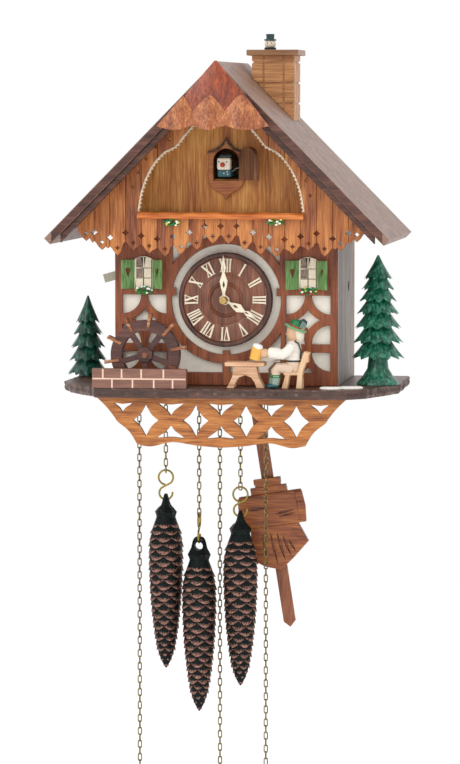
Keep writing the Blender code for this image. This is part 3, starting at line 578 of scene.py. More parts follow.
# ---------------------------------------------------------------- platform
# A lime board on which everything stands, stained dark walnut. Its front edge is hacked with
# a gouge so that it looks like weathered rock, and its top is left smooth.

def stained_wood(name, dark, mid, pale, grain, fibre=0.9, figure=7.0, gloss=0.42, show="Y",
        edge=None, board=0.0, depth=0.00012, centre=0.5):
    """Open-grained lime under stain and satin lacquer.

    Fibres a little under a millimetre apart run along the grain, broad bands of figure lie
    across them, and the stain darkens the pores and soaks into the sawn edges.
    """
    finish, tree, shader = new_finish(name)
    place = add_node(tree, "ShaderNodeTexCoord")
    long_way = {"X": 0, "Y": 1, "Z": 2}[grain]
    fine = [1000 / fibre] * 3
    fine[long_way] /= 22
    wide = [1000 / figure] * 3
    wide[long_way] /= 7
    fibre_place = add_node(tree, "ShaderNodeMapping", {"Vector": place.outputs["Object"], "Scale": fine})
    fibres = add_node(tree, "ShaderNodeTexNoise", {
        "Vector": fibre_place.outputs[0], "Scale": 1.0, "Detail": 3.0, "Roughness": 0.6})
    band_place = add_node(tree, "ShaderNodeMapping", {"Vector": place.outputs["Object"], "Scale": wide})
    bands = add_node(tree, "ShaderNodeTexNoise", {
        "Vector": band_place.outputs[0], "Scale": 1.0, "Detail": 4.0, "Roughness": 0.55, "Distortion": 0.4})
    grown = add_node(tree, "ShaderNodeMath", {0: fibres.outputs["Fac"], 1: bands.outputs["Fac"]},
        operation="ADD")
    tone_value = grown.outputs[0]
    if board:
        parts = add_node(tree, "ShaderNodeSeparateXYZ", {0: place.outputs["Object"]})
        number = add_node(tree, "ShaderNodeMath", {0: parts.outputs[0], 1: board * MM}, operation="SNAP")
        own_tone = add_node(tree, "ShaderNodeTexWhiteNoise", {"W": number.outputs[0]},
            noise_dimensions="1D")
        shifted = add_node(tree, "ShaderNodeMath", {0: own_tone.outputs["Value"], 1: 0.34, 2: -0.17},
            operation="MULTIPLY_ADD")
        tone_value = add_node(tree, "ShaderNodeMath", {0: grown.outputs[0], 1: shifted.outputs[0]},
            operation="ADD").outputs[0]
    tone = add_node(tree, "ShaderNodeMapRange", {"Value": tone_value, "From Min": 0.68, "From Max": 1.34})
    stain = add_node(tree, "ShaderNodeValToRGB", {"Fac": tone.outputs[0]})
    stain.color_ramp.elements[0].color = linear(dark)
    stain.color_ramp.elements[1].color = linear(pale)
    middle = stain.color_ramp.elements.new(centre)
    middle.color = linear(mid)
    colour = stain.outputs["Color"]
    if edge:
        facing = add_node(tree, "ShaderNodeSeparateXYZ", {0: place.outputs["Normal"]})
        square_on = add_node(tree, "ShaderNodeMath", {0: facing.outputs[{"X": 0, "Y": 1, "Z": 2}[show]]},
            operation="ABSOLUTE")
        sawn_side = add_node(tree, "ShaderNodeMapRange", {
            "Value": square_on.outputs[0], "From Min": 0.15, "From Max": 0.6, "To Min": 0.85,
                "To Max": 0.0})
        colour = add_node(tree, "ShaderNodeMix", {0: sawn_side.outputs[0], 6: colour, 7: linear(edge)},
            data_type="RGBA").outputs[2]
    tree.links.new(colour, shader.inputs["Base Color"])
    lacquer = add_node(tree, "ShaderNodeMapRange", {
        "Value": fibres.outputs["Fac"], "From Min": 0.3, "From Max": 0.7, "To Min": gloss + 0.14,
            "To Max": gloss - 0.06})
    tree.links.new(lacquer.outputs[0], shader.inputs["Roughness"])
    ribs = add_node(tree, "ShaderNodeBump", {
        "Height": fibres.outputs["Fac"], "Strength": 0.6, "Distance": depth})
    tree.links.new(ribs.outputs[0], shader.inputs["Normal"])
    return finish


def smooth_line(points, steps):
    """A smooth curve through the points, steps to each stretch."""
    line = []
    for i in range(len(points) - 1):
        before, start = points[max(i - 1, 0)], points[i]
        end, after = points[i + 1], points[min(i + 2, len(points) - 1)]
        for s in range(steps):
            t = s / steps
            line.append(tuple(
                0.5 * (2 * q + (r - p) * t + (2 * p - 5 * q + 4 * r - u) * t * t + (3 * q - p - 3 * r + u)
                    * t ** 3)
                for p, q, r, u in zip(before, start, end, after)))
    return line + [points[-1]]


def round_part(middle, radius, start, end, steps):
    """Points along a circle, in degrees counter-clockwise."""
    return [(middle[0] + radius * math.cos(math.radians(start + (end - start) * i / steps)),
        middle[1] + radius * math.sin(math.radians(start + (end - start) * i / steps)))
            for i in range(steps + 1)]


FRONT = Matrix.Rotation(math.radians(90), 4, "X")


def fretwork(name, outlines, near, thick, finish, edge=0.35, turn=FRONT, middle=(0, 0, 0), rounds=1):
    """Board sawn to flat outlines, its edges eased. Outlines are right and up, in millimetres,
    from the middle; near is how far the front face stands out from it."""
    sawn = bpy.data.curves.new(name, "CURVE")
    sawn.dimensions = "2D"
    sawn.fill_mode = "BOTH"
    sawn.extrude = (thick / 2 - edge) * MM
    sawn.bevel_depth = edge * MM
    sawn.bevel_resolution = rounds
    sawn.offset = -edge * MM
    for outline in outlines:
        spline = sawn.splines.new("POLY")
        spline.points.add(len(outline) - 1)
        spline.use_cyclic_u = True
        for point, (u, v) in zip(spline.points, outline):
            point.co = (u * MM, v * MM, 0, 1)
    holder = bpy.data.objects.new("sawn", sawn)
    bpy.context.scene.collection.objects.link(holder)
    holder.matrix_world = Matrix.Translation(at(*middle)) @ turn @ Matrix.Translation((0, 0,
        (near - thick / 2) * MM))
    piece = plain_mesh(holder, name)
    shape = bmesh.new()
    shape.from_mesh(piece.data)
    bmesh.ops.remove_doubles(shape, verts=shape.verts, dist=1e-6)
    bmesh.ops.recalc_face_normals(shape, faces=shape.faces)
    shape.to_mesh(piece.data)
    shape.free()
    piece.data.shade_flat()
    piece.data.materials.clear()
    piece.data.materials.append(finish)
    return piece


platform_wood = stained_wood("walnut_stained_board", "2c1813", "54352a", "7d5546", "X", figure=9,
        gloss=0.36, show="Z", edge="3a241c")
HALF_DECK = 126.5
deck_line = [(-HALF_DECK, 0), (-HALF_DECK - 1, -92), (-120, -114), (-108, -134), (-96, -152), (-93, -161.5),
    (93, -161.5), (98, -156), (108, -146), (119, -118), (HALF_DECK + 1, -92), (HALF_DECK, 0)]
dice = random.Random(4)
hacked = []
for (x0, y0), (x1, y1) in zip(deck_line, deck_line[1:]):
    cuts = max(1, int(math.hypot(x1 - x0, y1 - y0) / 2.6)) if min(y0, y1) < -40 else 1
    for i in range(cuts):
        t = i / cuts
        bite = 0 if cuts == 1 or i == 0 else dice.uniform(-0.2, 1.1)
        x, y = x0 + (x1 - x0) * t, y0 + (y1 - y0) * t
        far = math.hypot(x, y + 60) or 1
        hacked.append((x - x / far * bite, y - (y + 60) / far * bite, cuts > 1))
levels = (0.0, -0.9, -2.6, -4.4, -6.2, -7.0)
tuck = (0.5, 0.0, 0.5, 0.1, 0.9, 1.6)
rings = []
for height, inset in zip(levels, tuck):
    ring = []
    for x, y, rough in hacked:
        far = math.hypot(x, y + 60) or 1
        back = (inset + (dice.uniform(-0.45, 0.55) if 0 > height > -7 else 0)) if rough else 0
        ring.append(at(x - x / far * back, y - (y + 60) / far * back, height))
    rings.append(ring)
board = loft("platform_board", rings, platform_wood, smooth=False)
SLOTS = {"chain_slot": ((-77.5, 28), (-75, -55)), "pendulum_slot": ((-20, 20), (-49, -35)),
    "wheel_pit": ((-88.8, -24.8), (-149.5, -136.5))}
for slot_name, (x, y) in SLOTS.items():
    tool = loft(slot_name, [[at(x[0], y[0], z), at(x[1], y[0], z), at(x[1], y[1], z), at(x[0], y[1], z)]
        for z in (-12, 4)], platform_wood)
    board = cut(board, tool)
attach(board, "case")
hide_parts("platform")

# Two flat pebbles of white-painted wood are glued down in front of the tree.
chalk, tree, shader = new_finish("white_paint_on_wood", Roughness=0.55)
place = add_node(tree, "ShaderNodeTexCoord")
brush = noise_at(tree, place, 500.0, 3.0)
tint = add_node(tree, "ShaderNodeMix", {0: brush.outputs["Fac"], 6: linear("e9e4da"), 7: linear("fbf9f3")},
    data_type="RGBA")
tree.links.new(tint.outputs[2], shader.inputs["Base Color"])
pebbles = []
for (x, y), (wide, deep), turned in (((82.5, -152), (8.5, 4.6), 6), ((95, -146), (8.8, 5.2), 14)):
    rings = []
    for height, inset in ((0.05, 0.7), (0.7, 0.0), (1.5, 0.15), (2.1, 1.3)):
        ring = []
        for i in range(20):
            angle = 2 * math.pi * i / 20
            swell = 1 + 0.12 * math.sin(3 * angle + turned)
            u, v = (wide - inset) * math.cos(angle) * swell, (deep - inset * 0.7) * math.sin(angle)
            lean = math.radians(turned)
            ring.append(at(x + u * math.cos(lean) - v * math.sin(lean),
                y + u * math.sin(lean) + v * math.cos(lean),
                height))
        rings.append(ring)
    pebbles.append(loft("pebble", rings, chalk))
pebbles = join("pebbles", pebbles)
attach(pebbles, "case")

# ---------------------------------------------------------------- apron
# Four-millimetre lime plywood sawn out below the platform: a row of four concave diamonds
# between triangles. The flat face is stained orange, and the saw left the edges dark.
apron_wood = stained_wood("orange_stained_fretwork", "6b3416", "b06a2e", "d08e4c", "X", figure=3.4,
    gloss=0.38, edge="3a1a10", fibre=0.7)


def hollow(corners, sag, steps=5):
    """An outline with its sides drawn in towards its middle."""
    mid_x = sum(c[0] for c in corners) / len(corners)
    mid_z = sum(c[1] for c in corners) / len(corners)
    line = []
    for (x0, z0), (x1, z1) in zip(corners, corners[1:] + corners[:1]):
        for i in range(steps):
            t = i / steps
            pull = sag * 4 * t * (1 - t)
            x, z = x0 + (x1 - x0) * t, z0 + (z1 - z0) * t
            far = math.hypot(mid_x - x, mid_z - z) or 1
            line.append((x + (mid_x - x) / far * pull, z + (mid_z - z) / far * pull))
    return line


APRON_TOP, STEP_ALONG = -7.3, 37.3
right_side = smooth_line([(93, APRON_TOP), (85.5, -14.5), (79.5, -22), (77, -25.5), (68.5, -32.5),
    (62.5, -42)], 4)
wave = smooth_line([(62.5, -42), (52, -43.6), (36, -40.2), (18, -42.6), (0, -44)], 5)
right_line = right_side[:-1] + wave
outline = right_line + [(-x, z) for x, z in reversed(right_line[:-1])]
openings = []
for place in (-1.5, -0.5, 0.5, 1.5):
    x = place * STEP_ALONG
    openings.append(hollow([(x, -12.6), (x + 9.4, -24.2), (x, -36), (x - 9.4, -24.2)], 1.3))
for place in (-1, 0, 1):
    x = place * STEP_ALONG
    openings.append(hollow([(x - 9.6, -11.6), (x + 9.6, -11.6), (x, -20.6)], 1.0))
    openings.append(hollow([(x - 10.6, -37.2), (x, -27.8), (x + 10.6, -37.2)], 1.0))
for side_of in (-1, 1):
    openings.append(hollow([(side_of * 66, -11.6), (side_of * 80, -11.6), (side_of * 73.5, -18.2)], 0.8))
apron = fretwork("apron_fretwork", [outline] + openings, 149, 4, apron_wood)
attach(apron, "case")
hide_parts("apron")

# ---------------------------------------------------------------- case
# The case boards are kept as modelled. The sides are grey-brown walnut stain; the front is
# plywood painted as lime plaster, and stained gold where it shows inside the gable arch.
side_wood = stained_wood("grey_walnut_side", "4c3f39", "75675e", "978a80", "Z", figure=12, gloss=0.45,
    show="X")
bare_wood = stained_wood("bare_lime_plywood", "a37c55", "c9a57b", "dfc39c", "Z", figure=16, gloss=0.5)
for node in ("side_left", "side_right"):
    nodes[node].data.materials.clear()
    nodes[node].data.materials.append(side_wood)
for node in ("back_board", "back_cover", "bellows_left", "bellows_right", "bellows_top_left",
        "bellows_top_right"):
    nodes[node].data.materials.clear()
    nodes[node].data.materials.append(bare_wood)

PANEL_LOW = 118.0
front_finish = stained_wood("painted_and_stained_front", "8f4a1a", "c67f35", "e8b060", "Z", figure=8,
    fibre=0.8, gloss=0.44, depth=0.0003)
tree = front_finish.node_tree
shader = tree.nodes["Principled BSDF"]
place = add_node(tree, "ShaderNodeTexCoord")
height = add_node(tree, "ShaderNodeSeparateXYZ", {0: place.outputs["Object"]})
above = add_node(tree, "ShaderNodeMath", {0: height.outputs[2], 1: deck + PANEL_LOW * MM},
    operation="GREATER_THAN")
trowel = noise_at(tree, place, 260.0, 5.0)
plaster = add_node(tree, "ShaderNodeMix",
    {0: trowel.outputs["Fac"], 6: linear("efe4d0"), 7: linear("fffaf0")},
    data_type="RGBA")
wood_colour = shader.inputs["Base Color"].links[0].from_socket
either = add_node(tree, "ShaderNodeMix", {0: above.outputs[0], 6: plaster.outputs[2], 7: wood_colour},
    data_type="RGBA")
tree.links.new(either.outputs[2], shader.inputs["Base Color"])
nodes["front_board"].data.materials.clear()
nodes["front_board"].data.materials.append(front_finish)

# Clock works: stamped brass plates and drums, plain steel wire and strip, left unpolished.
plate_brass, tree, shader = new_finish("stamped_brass", Metallic=1.0, Roughness=0.3)
place = add_node(tree, "ShaderNodeTexCoord")
rolled = noise_at(tree, place, 150.0, 4.0)
tint = add_node(tree, "ShaderNodeMix", {0: rolled.outputs["Fac"], 6: linear("a8874a"), 7: linear("d6b878")},
    data_type="RGBA")
tree.links.new(tint.outputs[2], shader.inputs["Base Color"])
wire_steel, tree, shader = new_finish("zinc_plated_steel", Metallic=1.0)
place = add_node(tree, "ShaderNodeTexCoord")
rolled = noise_at(tree, place, 300.0, 4.0)
dull = add_node(tree, "ShaderNodeMapRange", {"Value": rolled.outputs["Fac"], "To Min": 0.3, "To Max": 0.55})
tree.links.new(dull.outputs[0], shader.inputs["Roughness"])
shader.inputs["Base Color"].default_value = linear("b3b0a6")
for finish, group in ((plate_brass, ("movement_frame", "music_base", "music_drum", "minute_arbor",
            "chain_wheel_1", "chain_wheel_2", "chain_wheel_3")),
        (wire_steel, ("gong", "gong_hammer", "pallet_crutch", "wall_hanger"))):
    for node in group:
        nodes[node].data.materials.clear()
        nodes[node].data.materials.append(finish)

# The shut-off lever is bare aluminium strip, greyed, and pokes out through the left side.
lever_metal, tree, shader = new_finish("greyed_aluminium_strip", Metallic=0.6, Roughness=0.5)
place = add_node(tree, "ShaderNodeTexCoord")
rolled = noise_at(tree, place, 500.0, 3.0)
tint = add_node(tree, "ShaderNodeMix", {0: rolled.outputs["Fac"], 6: linear("9d9a88"), 7: linear("c3bfa9")},
    data_type="RGBA")
tree.links.new(tint.outputs[2], shader.inputs["Base Color"])
nodes["shut_off_lever"].data.materials.clear()
nodes["shut_off_lever"].data.materials.append(lever_metal)

# ---------------------------------------------------------------- timber framing
# One sawn overlay glued to the plaster: posts, sill, beams, the ring round the dial and the
# quarter rings of the two bays, in red-brown stain with the grain upright.
timber_wood = stained_wood("red_brown_timber", "5a2712", "8a4521", "a9602f", "Z", figure=5, gloss=0.4,
    edge="43200f")
OUTER, POST, INNER_POST, INNER_EDGE = 83.4, 77.8, 44.8, 40.2
SILL, MID, BOTTOM = (67.2, 71.9), (25.0, 31.1), 9.7
RING_IN, RING_OUT, DIAL_HEIGHT = 41.0, 47.8, 64.0
QUARTER_IN, QUARTER_OUT = 14.0, 19.5
notches = []
ring_hole = round_part((0, DIAL_HEIGHT), RING_IN, 0, 360, 72)[:-1]
for side_of in (-1, 1):
    def mirrored(points):
        return [(side_of * x, z) for x, z in points]
    for x, z, start in ((POST, SILL[0], 180), (INNER_POST, SILL[0], 270), (INNER_POST, MID[1], 0),
            (POST, MID[1], 90), (INNER_POST, MID[0], 270), (POST, MID[0], 180)):
        notches.append(mirrored([(x, z)] + round_part((x, z), QUARTER_IN, start, start + 90, 10)))
    half_wide, half_high = (POST - INNER_POST) / 2, (SILL[0] - MID[1]) / 2
    top_meet = math.degrees(math.acos(half_wide / QUARTER_OUT))
    side_meet = math.degrees(math.asin(half_high / QUARTER_OUT))
    star = round_part((INNER_POST, SILL[0]), QUARTER_OUT, -top_meet, -side_meet, 7)
    star += round_part((INNER_POST, MID[1]), QUARTER_OUT, side_meet, top_meet, 7)
    star += round_part((POST, MID[1]), QUARTER_OUT, 180 - top_meet, 180 - side_meet, 7)
    star += round_part((POST, SILL[0]), QUARTER_OUT, 180 + side_meet, 180 + top_meet, 7)
    notches.append(mirrored(star))
    foot = math.degrees(math.asin((MID[0] - BOTTOM) / QUARTER_OUT))
    notches.append(mirrored(round_part((INNER_POST, MID[0]), QUARTER_OUT, -foot, -top_meet, 4)
        + round_part((POST, MID[0]), QUARTER_OUT, 180 + top_meet, 180 + foot, 4)))
    lower = round_part((0, DIAL_HEIGHT), RING_OUT, -31, -86.5, 12)
    notches.append(mirrored([(INNER_EDGE, BOTTOM)] + lower + [(2.7, BOTTOM)]))
    upper = round_part((0, DIAL_HEIGHT), RING_OUT, 33, 80, 12)
    notches.append(mirrored(upper + [(8.3, 120), (INNER_EDGE, 120)]))
timber = fretwork("timber_framing", [[(-OUTER, 0.3), (OUTER, 0.3), (OUTER, 126), (-OUTER, 126)], ring_hole]
    + notches,
    121, 3.6, timber_wood)
tabs = [fretwork("tab", [[(a, b), (c, b), (c, d), (a, d)]], 120.7, 3.2, timber_wood)
        for a, b, c, d in ((-42.5, 66.6, -37.6, 72.4), (37.6, 66.6, 42.5, 72.4), (-2.7, 20.0, 2.7, 26.0))]
timber = join("timber_framing", [timber] + tabs)
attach(timber, "case")
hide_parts("timber_frame")

# ---------------------------------------------------------------- gable
# Upright tongued boards under the front of the roof, sawn to pickets and pierced with
# diamonds. A wide arch shows the golden wall behind, its scalloped edge left bare.
gable_wood = stained_wood("orange_brown_gable_boards", "6a3013", "a9612b", "cd8746", "Z", figure=4.5,
    gloss=0.38, edge="5d2c14", board=11.8, fibre=0.8, depth=0.0002)
trim_wood = stained_wood("bare_sawn_edge", "c4a684", "e6d0b4", "f8ecd6", "X", figure=3, gloss=0.6)
PITCH, NOTCH, FRONT_OF_GABLE, BOARD_THICK = 11.8, 6.4, 149.0, 4.0
TIPS = (106.3, 101.6, 98.5, 96.7, 98.9, 101.2, 97.4, 101.4, 107.9)
roof_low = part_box("roof_right")[0].z
roof_top = (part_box("roof_right")[1].z - deck) / MM
slope = (roof_top - (roof_low - deck) / MM - 4.2) / (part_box("roof_right")[1].x / MM)


def under_roof(x):
    """Height of the roof's underside at a distance from the middle."""
    return roof_top - 6 / math.cos(math.atan(slope)) - abs(x) * slope - 0.8


boards, diamonds = [], []
for number, tip in enumerate(TIPS):
    for side_of in (-1, 1):
        near_x, far_x = number * PITCH + 0.06, (number + 1) * PITCH - 0.06
        middle_x = (number + 0.5) * PITCH
        before = TIPS[number - 1] if number else tip
        outline = [(near_x, before + NOTCH), (near_x + 1.4, before + NOTCH - 1.2),
            (middle_x - 2.6, tip + 2.4),
            (middle_x, tip), (middle_x + 2.6, tip + 2.4), (far_x - 1.4, tip + NOTCH - 1.2),
            (far_x, tip + NOTCH), (far_x, under_roof(far_x)), (near_x, under_roof(near_x))]
        boards.append([(side_of * x, z) for x, z in outline])
        for x, z, half in ((middle_x, tip + 5.6, 2.0), (far_x, tip + 13.0, 2.7)):
            if x < 104:
                diamonds.append(hollow([(side_of * x - half, z), (side_of * x, z - half),
                    (side_of * x + half, z),
                    (side_of * x, z + half)], 0.35, 2))
diamonds.append(hollow([(-2.7, 119.3), (0, 116.6), (2.7, 119.3), (0, 122)], 0.35, 2))
arch_half = smooth_line([(61, 129.5), (58, 146), (51.5, 161), (42.5, 172), (33, 177.5), (26, 186),
    (15, 197), (0, 203)], 12)
arch_line = arch_half + [(-x, z) for x, z in reversed(arch_half[:-1])]


def beside(line, away):
    """The line moved sideways, away from the middle of the arch."""
    moved = []
    for i, (x, z) in enumerate(line):
        (x0, z0), (x1, z1) = line[max(i - 1, 0)], line[min(i + 1, len(line) - 1)]
        far = math.hypot(x1 - x0, z1 - z0)
        moved.append((x + (z1 - z0) / far * away, z - (x1 - x0) / far * away))
    return moved


def even(line, gap):
    """Points a gap apart along the line."""
    found, walked = [line[0]], 0.0
    for (x0, z0), (x1, z1) in zip(line, line[1:]):
        length = math.hypot(x1 - x0, z1 - z0)
        while length and walked + length >= gap:
            t = (gap - walked) / length
            x0, z0 = x0 + (x1 - x0) * t, z0 + (z1 - z0) * t
            found.append((x0, z0))
            length = math.hypot(x1 - x0, z1 - z0)
            walked = 0.0
        walked += length
    return found


for x, z in even(beside(arch_line, 7.2), 11.4)[1:-1]:
    if z < 196:
        diamonds.append(hollow([(x - 1.7, z), (x, z - 1.7), (x + 1.7, z), (x, z + 1.7)], 0.2, 2))
scallop = even(arch_line, 0.55)
wavy = [(p[0] + (q[0] - p[0]) * 0.55 * (1 + math.sin(i * 1.15)),
    p[1] + (q[1] - p[1]) * 0.55 * (1 + math.sin(i * 1.15)))
        for i, (p, q) in enumerate(zip(scallop, beside(scallop, -1.0)))]
back_line = beside(scallop, 1.0)
gable = fretwork("gable_boards_front", boards, FRONT_OF_GABLE, BOARD_THICK, gable_wood, edge=0.55)
tool = fretwork("arch", [back_line + [(-62, 129.2), (62, 129.2)]], FRONT_OF_GABLE + 3, 12, gable_wood,
    edge=0.01)
gable = cut(gable, tool)
for start in range(0, len(diamonds), 200):
    tool = fretwork("diamonds", diamonds[start:start + 200], FRONT_OF_GABLE + 3, 12, gable_wood, edge=0.01)
    gable = cut(gable, tool)
gable.data.shade_flat()
trim = fretwork("arch_trim", [wavy + list(reversed(beside(scallop, 0.9)))], FRONT_OF_GABLE + 0.15,
    BOARD_THICK + 0.1,
    trim_wood, edge=0.12)
for piece in (gable, trim):
    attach(piece, "case")
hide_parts("gable_boards")

# ---------------------------------------------------------------- balcony rail
# A carved moulding across the foot of the arch, whittled so that its edges wander.
rail_wood = stained_wood("bright_orange_rail", "8d3c14", "c4692a", "dc8b47", "X", figure=5, gloss=0.33)
rings = []
for i in range(49):
    x = -61.5 + 123 * i / 48
    wander = 0.35 * math.sin(i * 0.9) + 0.25 * math.sin(i * 0.37)
    section = [(0.4, -2.3), (4.4, -2.35 + wander * 0.5), (5.3, -1.4 + wander * 0.5), (5.4, 1.0 + wander),
        (4.2, 2.3 + wander), (0.4, 2.35)]
    rings.append([at(x, -149 - out, 126.8 + up) for out, up in section])
rail = loft("carved_rail", rings, rail_wood, smooth=False)
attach(rail, "case")
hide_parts("balcony_rail")

# ---------------------------------------------------------------- roof
# Two boards mitred at the ridge, walnut-stained and lacquered to a sheen, kept as modelled,
# each with a thin second board under its front edge. The half-hip in front is carved lime.
roof_wood = stained_wood("lacquered_walnut_roof", "5e4337", "8a6a5b", "a98c7c", "X", figure=8, fibre=0.8,
    gloss=0.42, show="Z", depth=0.0001)
for node in ("roof_left", "roof_right"):
    nodes[node].data.materials.clear()
    nodes[node].data.materials.append(roof_wood)
fascia_wood = stained_wood("dark_walnut_fascia", "2a1510", "4c2a1e", "74493a", "X", figure=6, gloss=0.35)
run = math.hypot(1, slope)
for side_of, label in ((-1, "left"), (1, "right")):
    layers = []
    for low, high, out, thick, foot in ((0.3, 5.8, 175.4, 2.6, 0.8), (6.2, 10.4, 171.6, 8.0, 7.0)):
        ends = []
        for x in (22.0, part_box("roof_right")[1].x / MM - 4.5 - foot):
            for drop in (low, high):
                ends.append((x, roof_top - slope * x - drop * run))
        outline = [ends[0], ends[2], ends[3], ends[1]]
        layers.append(fretwork("layer", [[(side_of * x, z) for x, z in outline]], out, thick, fascia_wood,
            edge=0.5))
    fascia = join(f"fascia_{label}", layers)
    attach(fascia, "case")

# The half-hip is one carved block: a smooth triangle above and three big leaf-shaped
# shingles below it, each dished on both sides of its middle and scalloped at its lower edge.
hood_wood = stained_wood("red_brown_carved_hood", "4e1c0b", "8a3a1c", "b3592a", "Z", figure=5, fibre=0.9,
    gloss=0.3)
leaf_wood = stained_wood("carved_leaf_shingle", "64260f", "a05a30", "cc8a56", "Z", figure=5, fibre=1.0,
    gloss=0.32)


def hood_front(z):
    """How far the hood's face stands out from the front of the roof at a height."""
    return 175.3 + (240.5 - z) / 50.5 * 19.0


def hood_half(z):
    return 42.0 * (240.5 - z) / 50.5 + 0.4


rings = []
for z in (240.0, 236, 230, 222, 214, 207, 201.5):
    half, out = hood_half(z), hood_front(z)
    recess = 3.0 * max(0.0, min(1.0, (232 - z) / 14)) - 0.7
    ring = [at(-half, -175.0, z), at(half, -175.0, z)]
    for i in range(12, -13, -1):
        x = half * i / 12
        ring.append(at(x, -(out - recess) + 1.0 * (i / 12) ** 2, z))
    rings.append(ring)
hood = loft("hood_face", rings, hood_wood)
LEAVES = ((-42.5, -15.0, -23.5), (-15.0, 8.5, -3.0), (8.5, 42.5, 19.0))
leaves = []
for left, right, peak in LEAVES:
    across, down = 28, 14
    verts, faces = [], []
    for layer in (0, 1):
        for j in range(down + 1):
            t = j / down
            for i in range(across + 1):
                u = i / across
                x = left + (right - left) * u
                apex = (peak - left) / (right - left)
                side = (u / apex) if u < apex else (1 - u) / (1 - apex)
                side = max(0.0, min(1.0, side))
                top = 203.6 + 11.8 * (0.55 * side + 0.45 * math.sin(side * math.pi / 2))
                low = 190.6 + 2.2 * abs(math.cos(math.pi * u)) ** 3 - 0.5 * side
                z = top + (low - top) * t
                half = hood_half(z) + 0.6
                x = max(-half, min(half, x))
                facet = 0.5 * math.sin(side * math.pi) * t
                out = hood_front(z) - 1.2 + 1.1 * t + 0.7 * math.sin(math.pi * u) - facet
                y = -out if layer == 0 else -(out - 3.2)
                verts.append(at(x, y, z))
    row, sheet = across + 1, (across + 1) * (down + 1)
    for j in range(down):
        for i in range(across):
            a = j * row + i
            faces.append((a, a + row, a + row + 1, a + 1))
            a += sheet
            faces.append((a, a + 1, a + row + 1, a + row))
    rim = [i for i in range(row)] + [j * row + across for j in range(1, down + 1)]
    rim += [down * row + i for i in range(across - 1, -1, -1)] + [j * row for j in range(down - 1, 0, -1)]
    for a, b in zip(rim, rim[1:] + rim[:1]):
        faces.append((a, b, b + sheet, a + sheet))
    leaves.append(new_piece("leaf", verts, faces, leaf_wood))
leaves = join("leaf_shingles", leaves)
for piece in (hood, leaves):
    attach(piece, "case")
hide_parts("roof_hood")

# ---------------------------------------------------------------- chimney and sweep
# A block sawn across and down so that it looks like coursed stone, with a plain cap. The
# sweep is turned wood: cream face with two dots for eyes under a dark green hat.
stack_wood = stained_wood("honey_stained_chimney", "8a5729", "b98150", "cf9f6c", "X", figure=7, gloss=0.42,
    edge=None)
cap_wood = stained_wood("chimney_cap", "6f4527", "8d633f", "a9896c", "X", figure=8, gloss=0.34)


def block(name, x, y, z, finish, ease=0.4):
    """A planed block between two corners, its edges eased."""
    middle = [(a + b) / 2 for a, b in (x, y, z)]
    size = [abs(b - a) for a, b in (x, y, z)]
    shape = bmesh.new()
    bmesh.ops.create_cube(shape, size=1.0)
    for corner in shape.verts:
        corner.co = Vector((middle[i] + corner.co[i] * size[i] for i in range(3)))
    if ease:
        bmesh.ops.bevel(shape, geom=shape.edges[:], offset=ease, segments=2, affect="EDGES", profile=0.5)
    for corner in shape.verts:
        corner.co = at(*corner.co)
    mesh = bpy.data.meshes.new(name)
    shape.to_mesh(mesh)
    shape.free()
    piece = bpy.data.objects.new(name, mesh)
    bpy.context.scene.collection.objects.link(piece)
    mesh.materials.append(finish)
    return piece


stack_x, stack_y = (11.2, 43.4), (-60.0, -23.0)
stack = nodes["chimney"].copy()
stack.data = nodes["chimney"].data.copy()
bpy.context.scene.collection.objects.link(stack)
stack.name = "chimney_block"
shape = bmesh.new()
shape.from_mesh(stack.data)
bmesh.ops.remove_doubles(shape, verts=shape.verts, dist=1e-6)
bmesh.ops.dissolve_limit(shape, angle_limit=0.01, verts=shape.verts, edges=shape.edges)
bmesh.ops.recalc_face_normals(shape, faces=shape.faces)
shape.to_mesh(stack.data)
shape.free()
stack.data.materials.clear()
stack.data.materials.append(stack_wood)
stack = cut(stack, block("cap_space", (0, 60), (-80, -5), (245.0, 262), stack_wood, ease=0))
for z in (240.0, 224.4, 208.8):
    for x, y in (((stack_x[0] - 2, stack_x[1] + 2), (stack_y[0] - 2, stack_y[0] + 1.0)),
            ((stack_x[0] - 2, stack_x[1] + 2), (stack_y[1] - 1.0, stack_y[1] + 2)),
            ((stack_x[0] - 2, stack_x[0] + 1.0), (stack_y[0] - 2, stack_y[1] + 2)),
            ((stack_x[1] - 1.0, stack_x[1] + 2), (stack_y[0] - 2, stack_y[1] + 2))):
        stack = cut(stack, block("groove", x, y, (z - 0.75, z + 0.75), stack_wood, ease=0))
for x in (20.1, 35.3):
    stack = cut(stack, block("groove", (x - 0.7, x + 0.7), (stack_y[0] - 2, stack_y[0] + 0.9), (150, 244.2),
        stack_wood, ease=0))
for y in (-47.5, -35.5):
    stack = cut(stack, block("groove", (stack_x[1] - 0.9, stack_x[1] + 2), (y - 0.7, y + 0.7), (150, 244.2),
        stack_wood, ease=0))
stack.data.shade_flat()
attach(stack, "case")
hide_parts("chimney")
cap = block("chimney_cap", (7.6, 46.8), (-65.0, -18.0), (245.0, 249.3), cap_wood, 0.5)
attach(cap, "case")


def gloss_paint(name, colour, roughness=0.38):
    """Oil paint laid on turned or carved wood with a small brush."""
    finish, tree, shader = new_finish(name, Roughness=roughness)
    place = add_node(tree, "ShaderNodeTexCoord")
    brushed = noise_at(tree, place, 420.0, 4.0)
    shade = [part * 0.72 for part in linear(colour)[:3]] + [1]
    tint = add_node(tree, "ShaderNodeMix", {0: brushed.outputs["Fac"], 6: shade, 7: linear(colour)},
        data_type="RGBA")
    tree.links.new(tint.outputs[2], shader.inputs["Base Color"])
    relief = add_node(tree, "ShaderNodeBump",
        {"Height": brushed.outputs["Fac"], "Strength": 0.4, "Distance": 0.00008})
    tree.links.new(relief.outputs[0], shader.inputs["Normal"])
    return finish


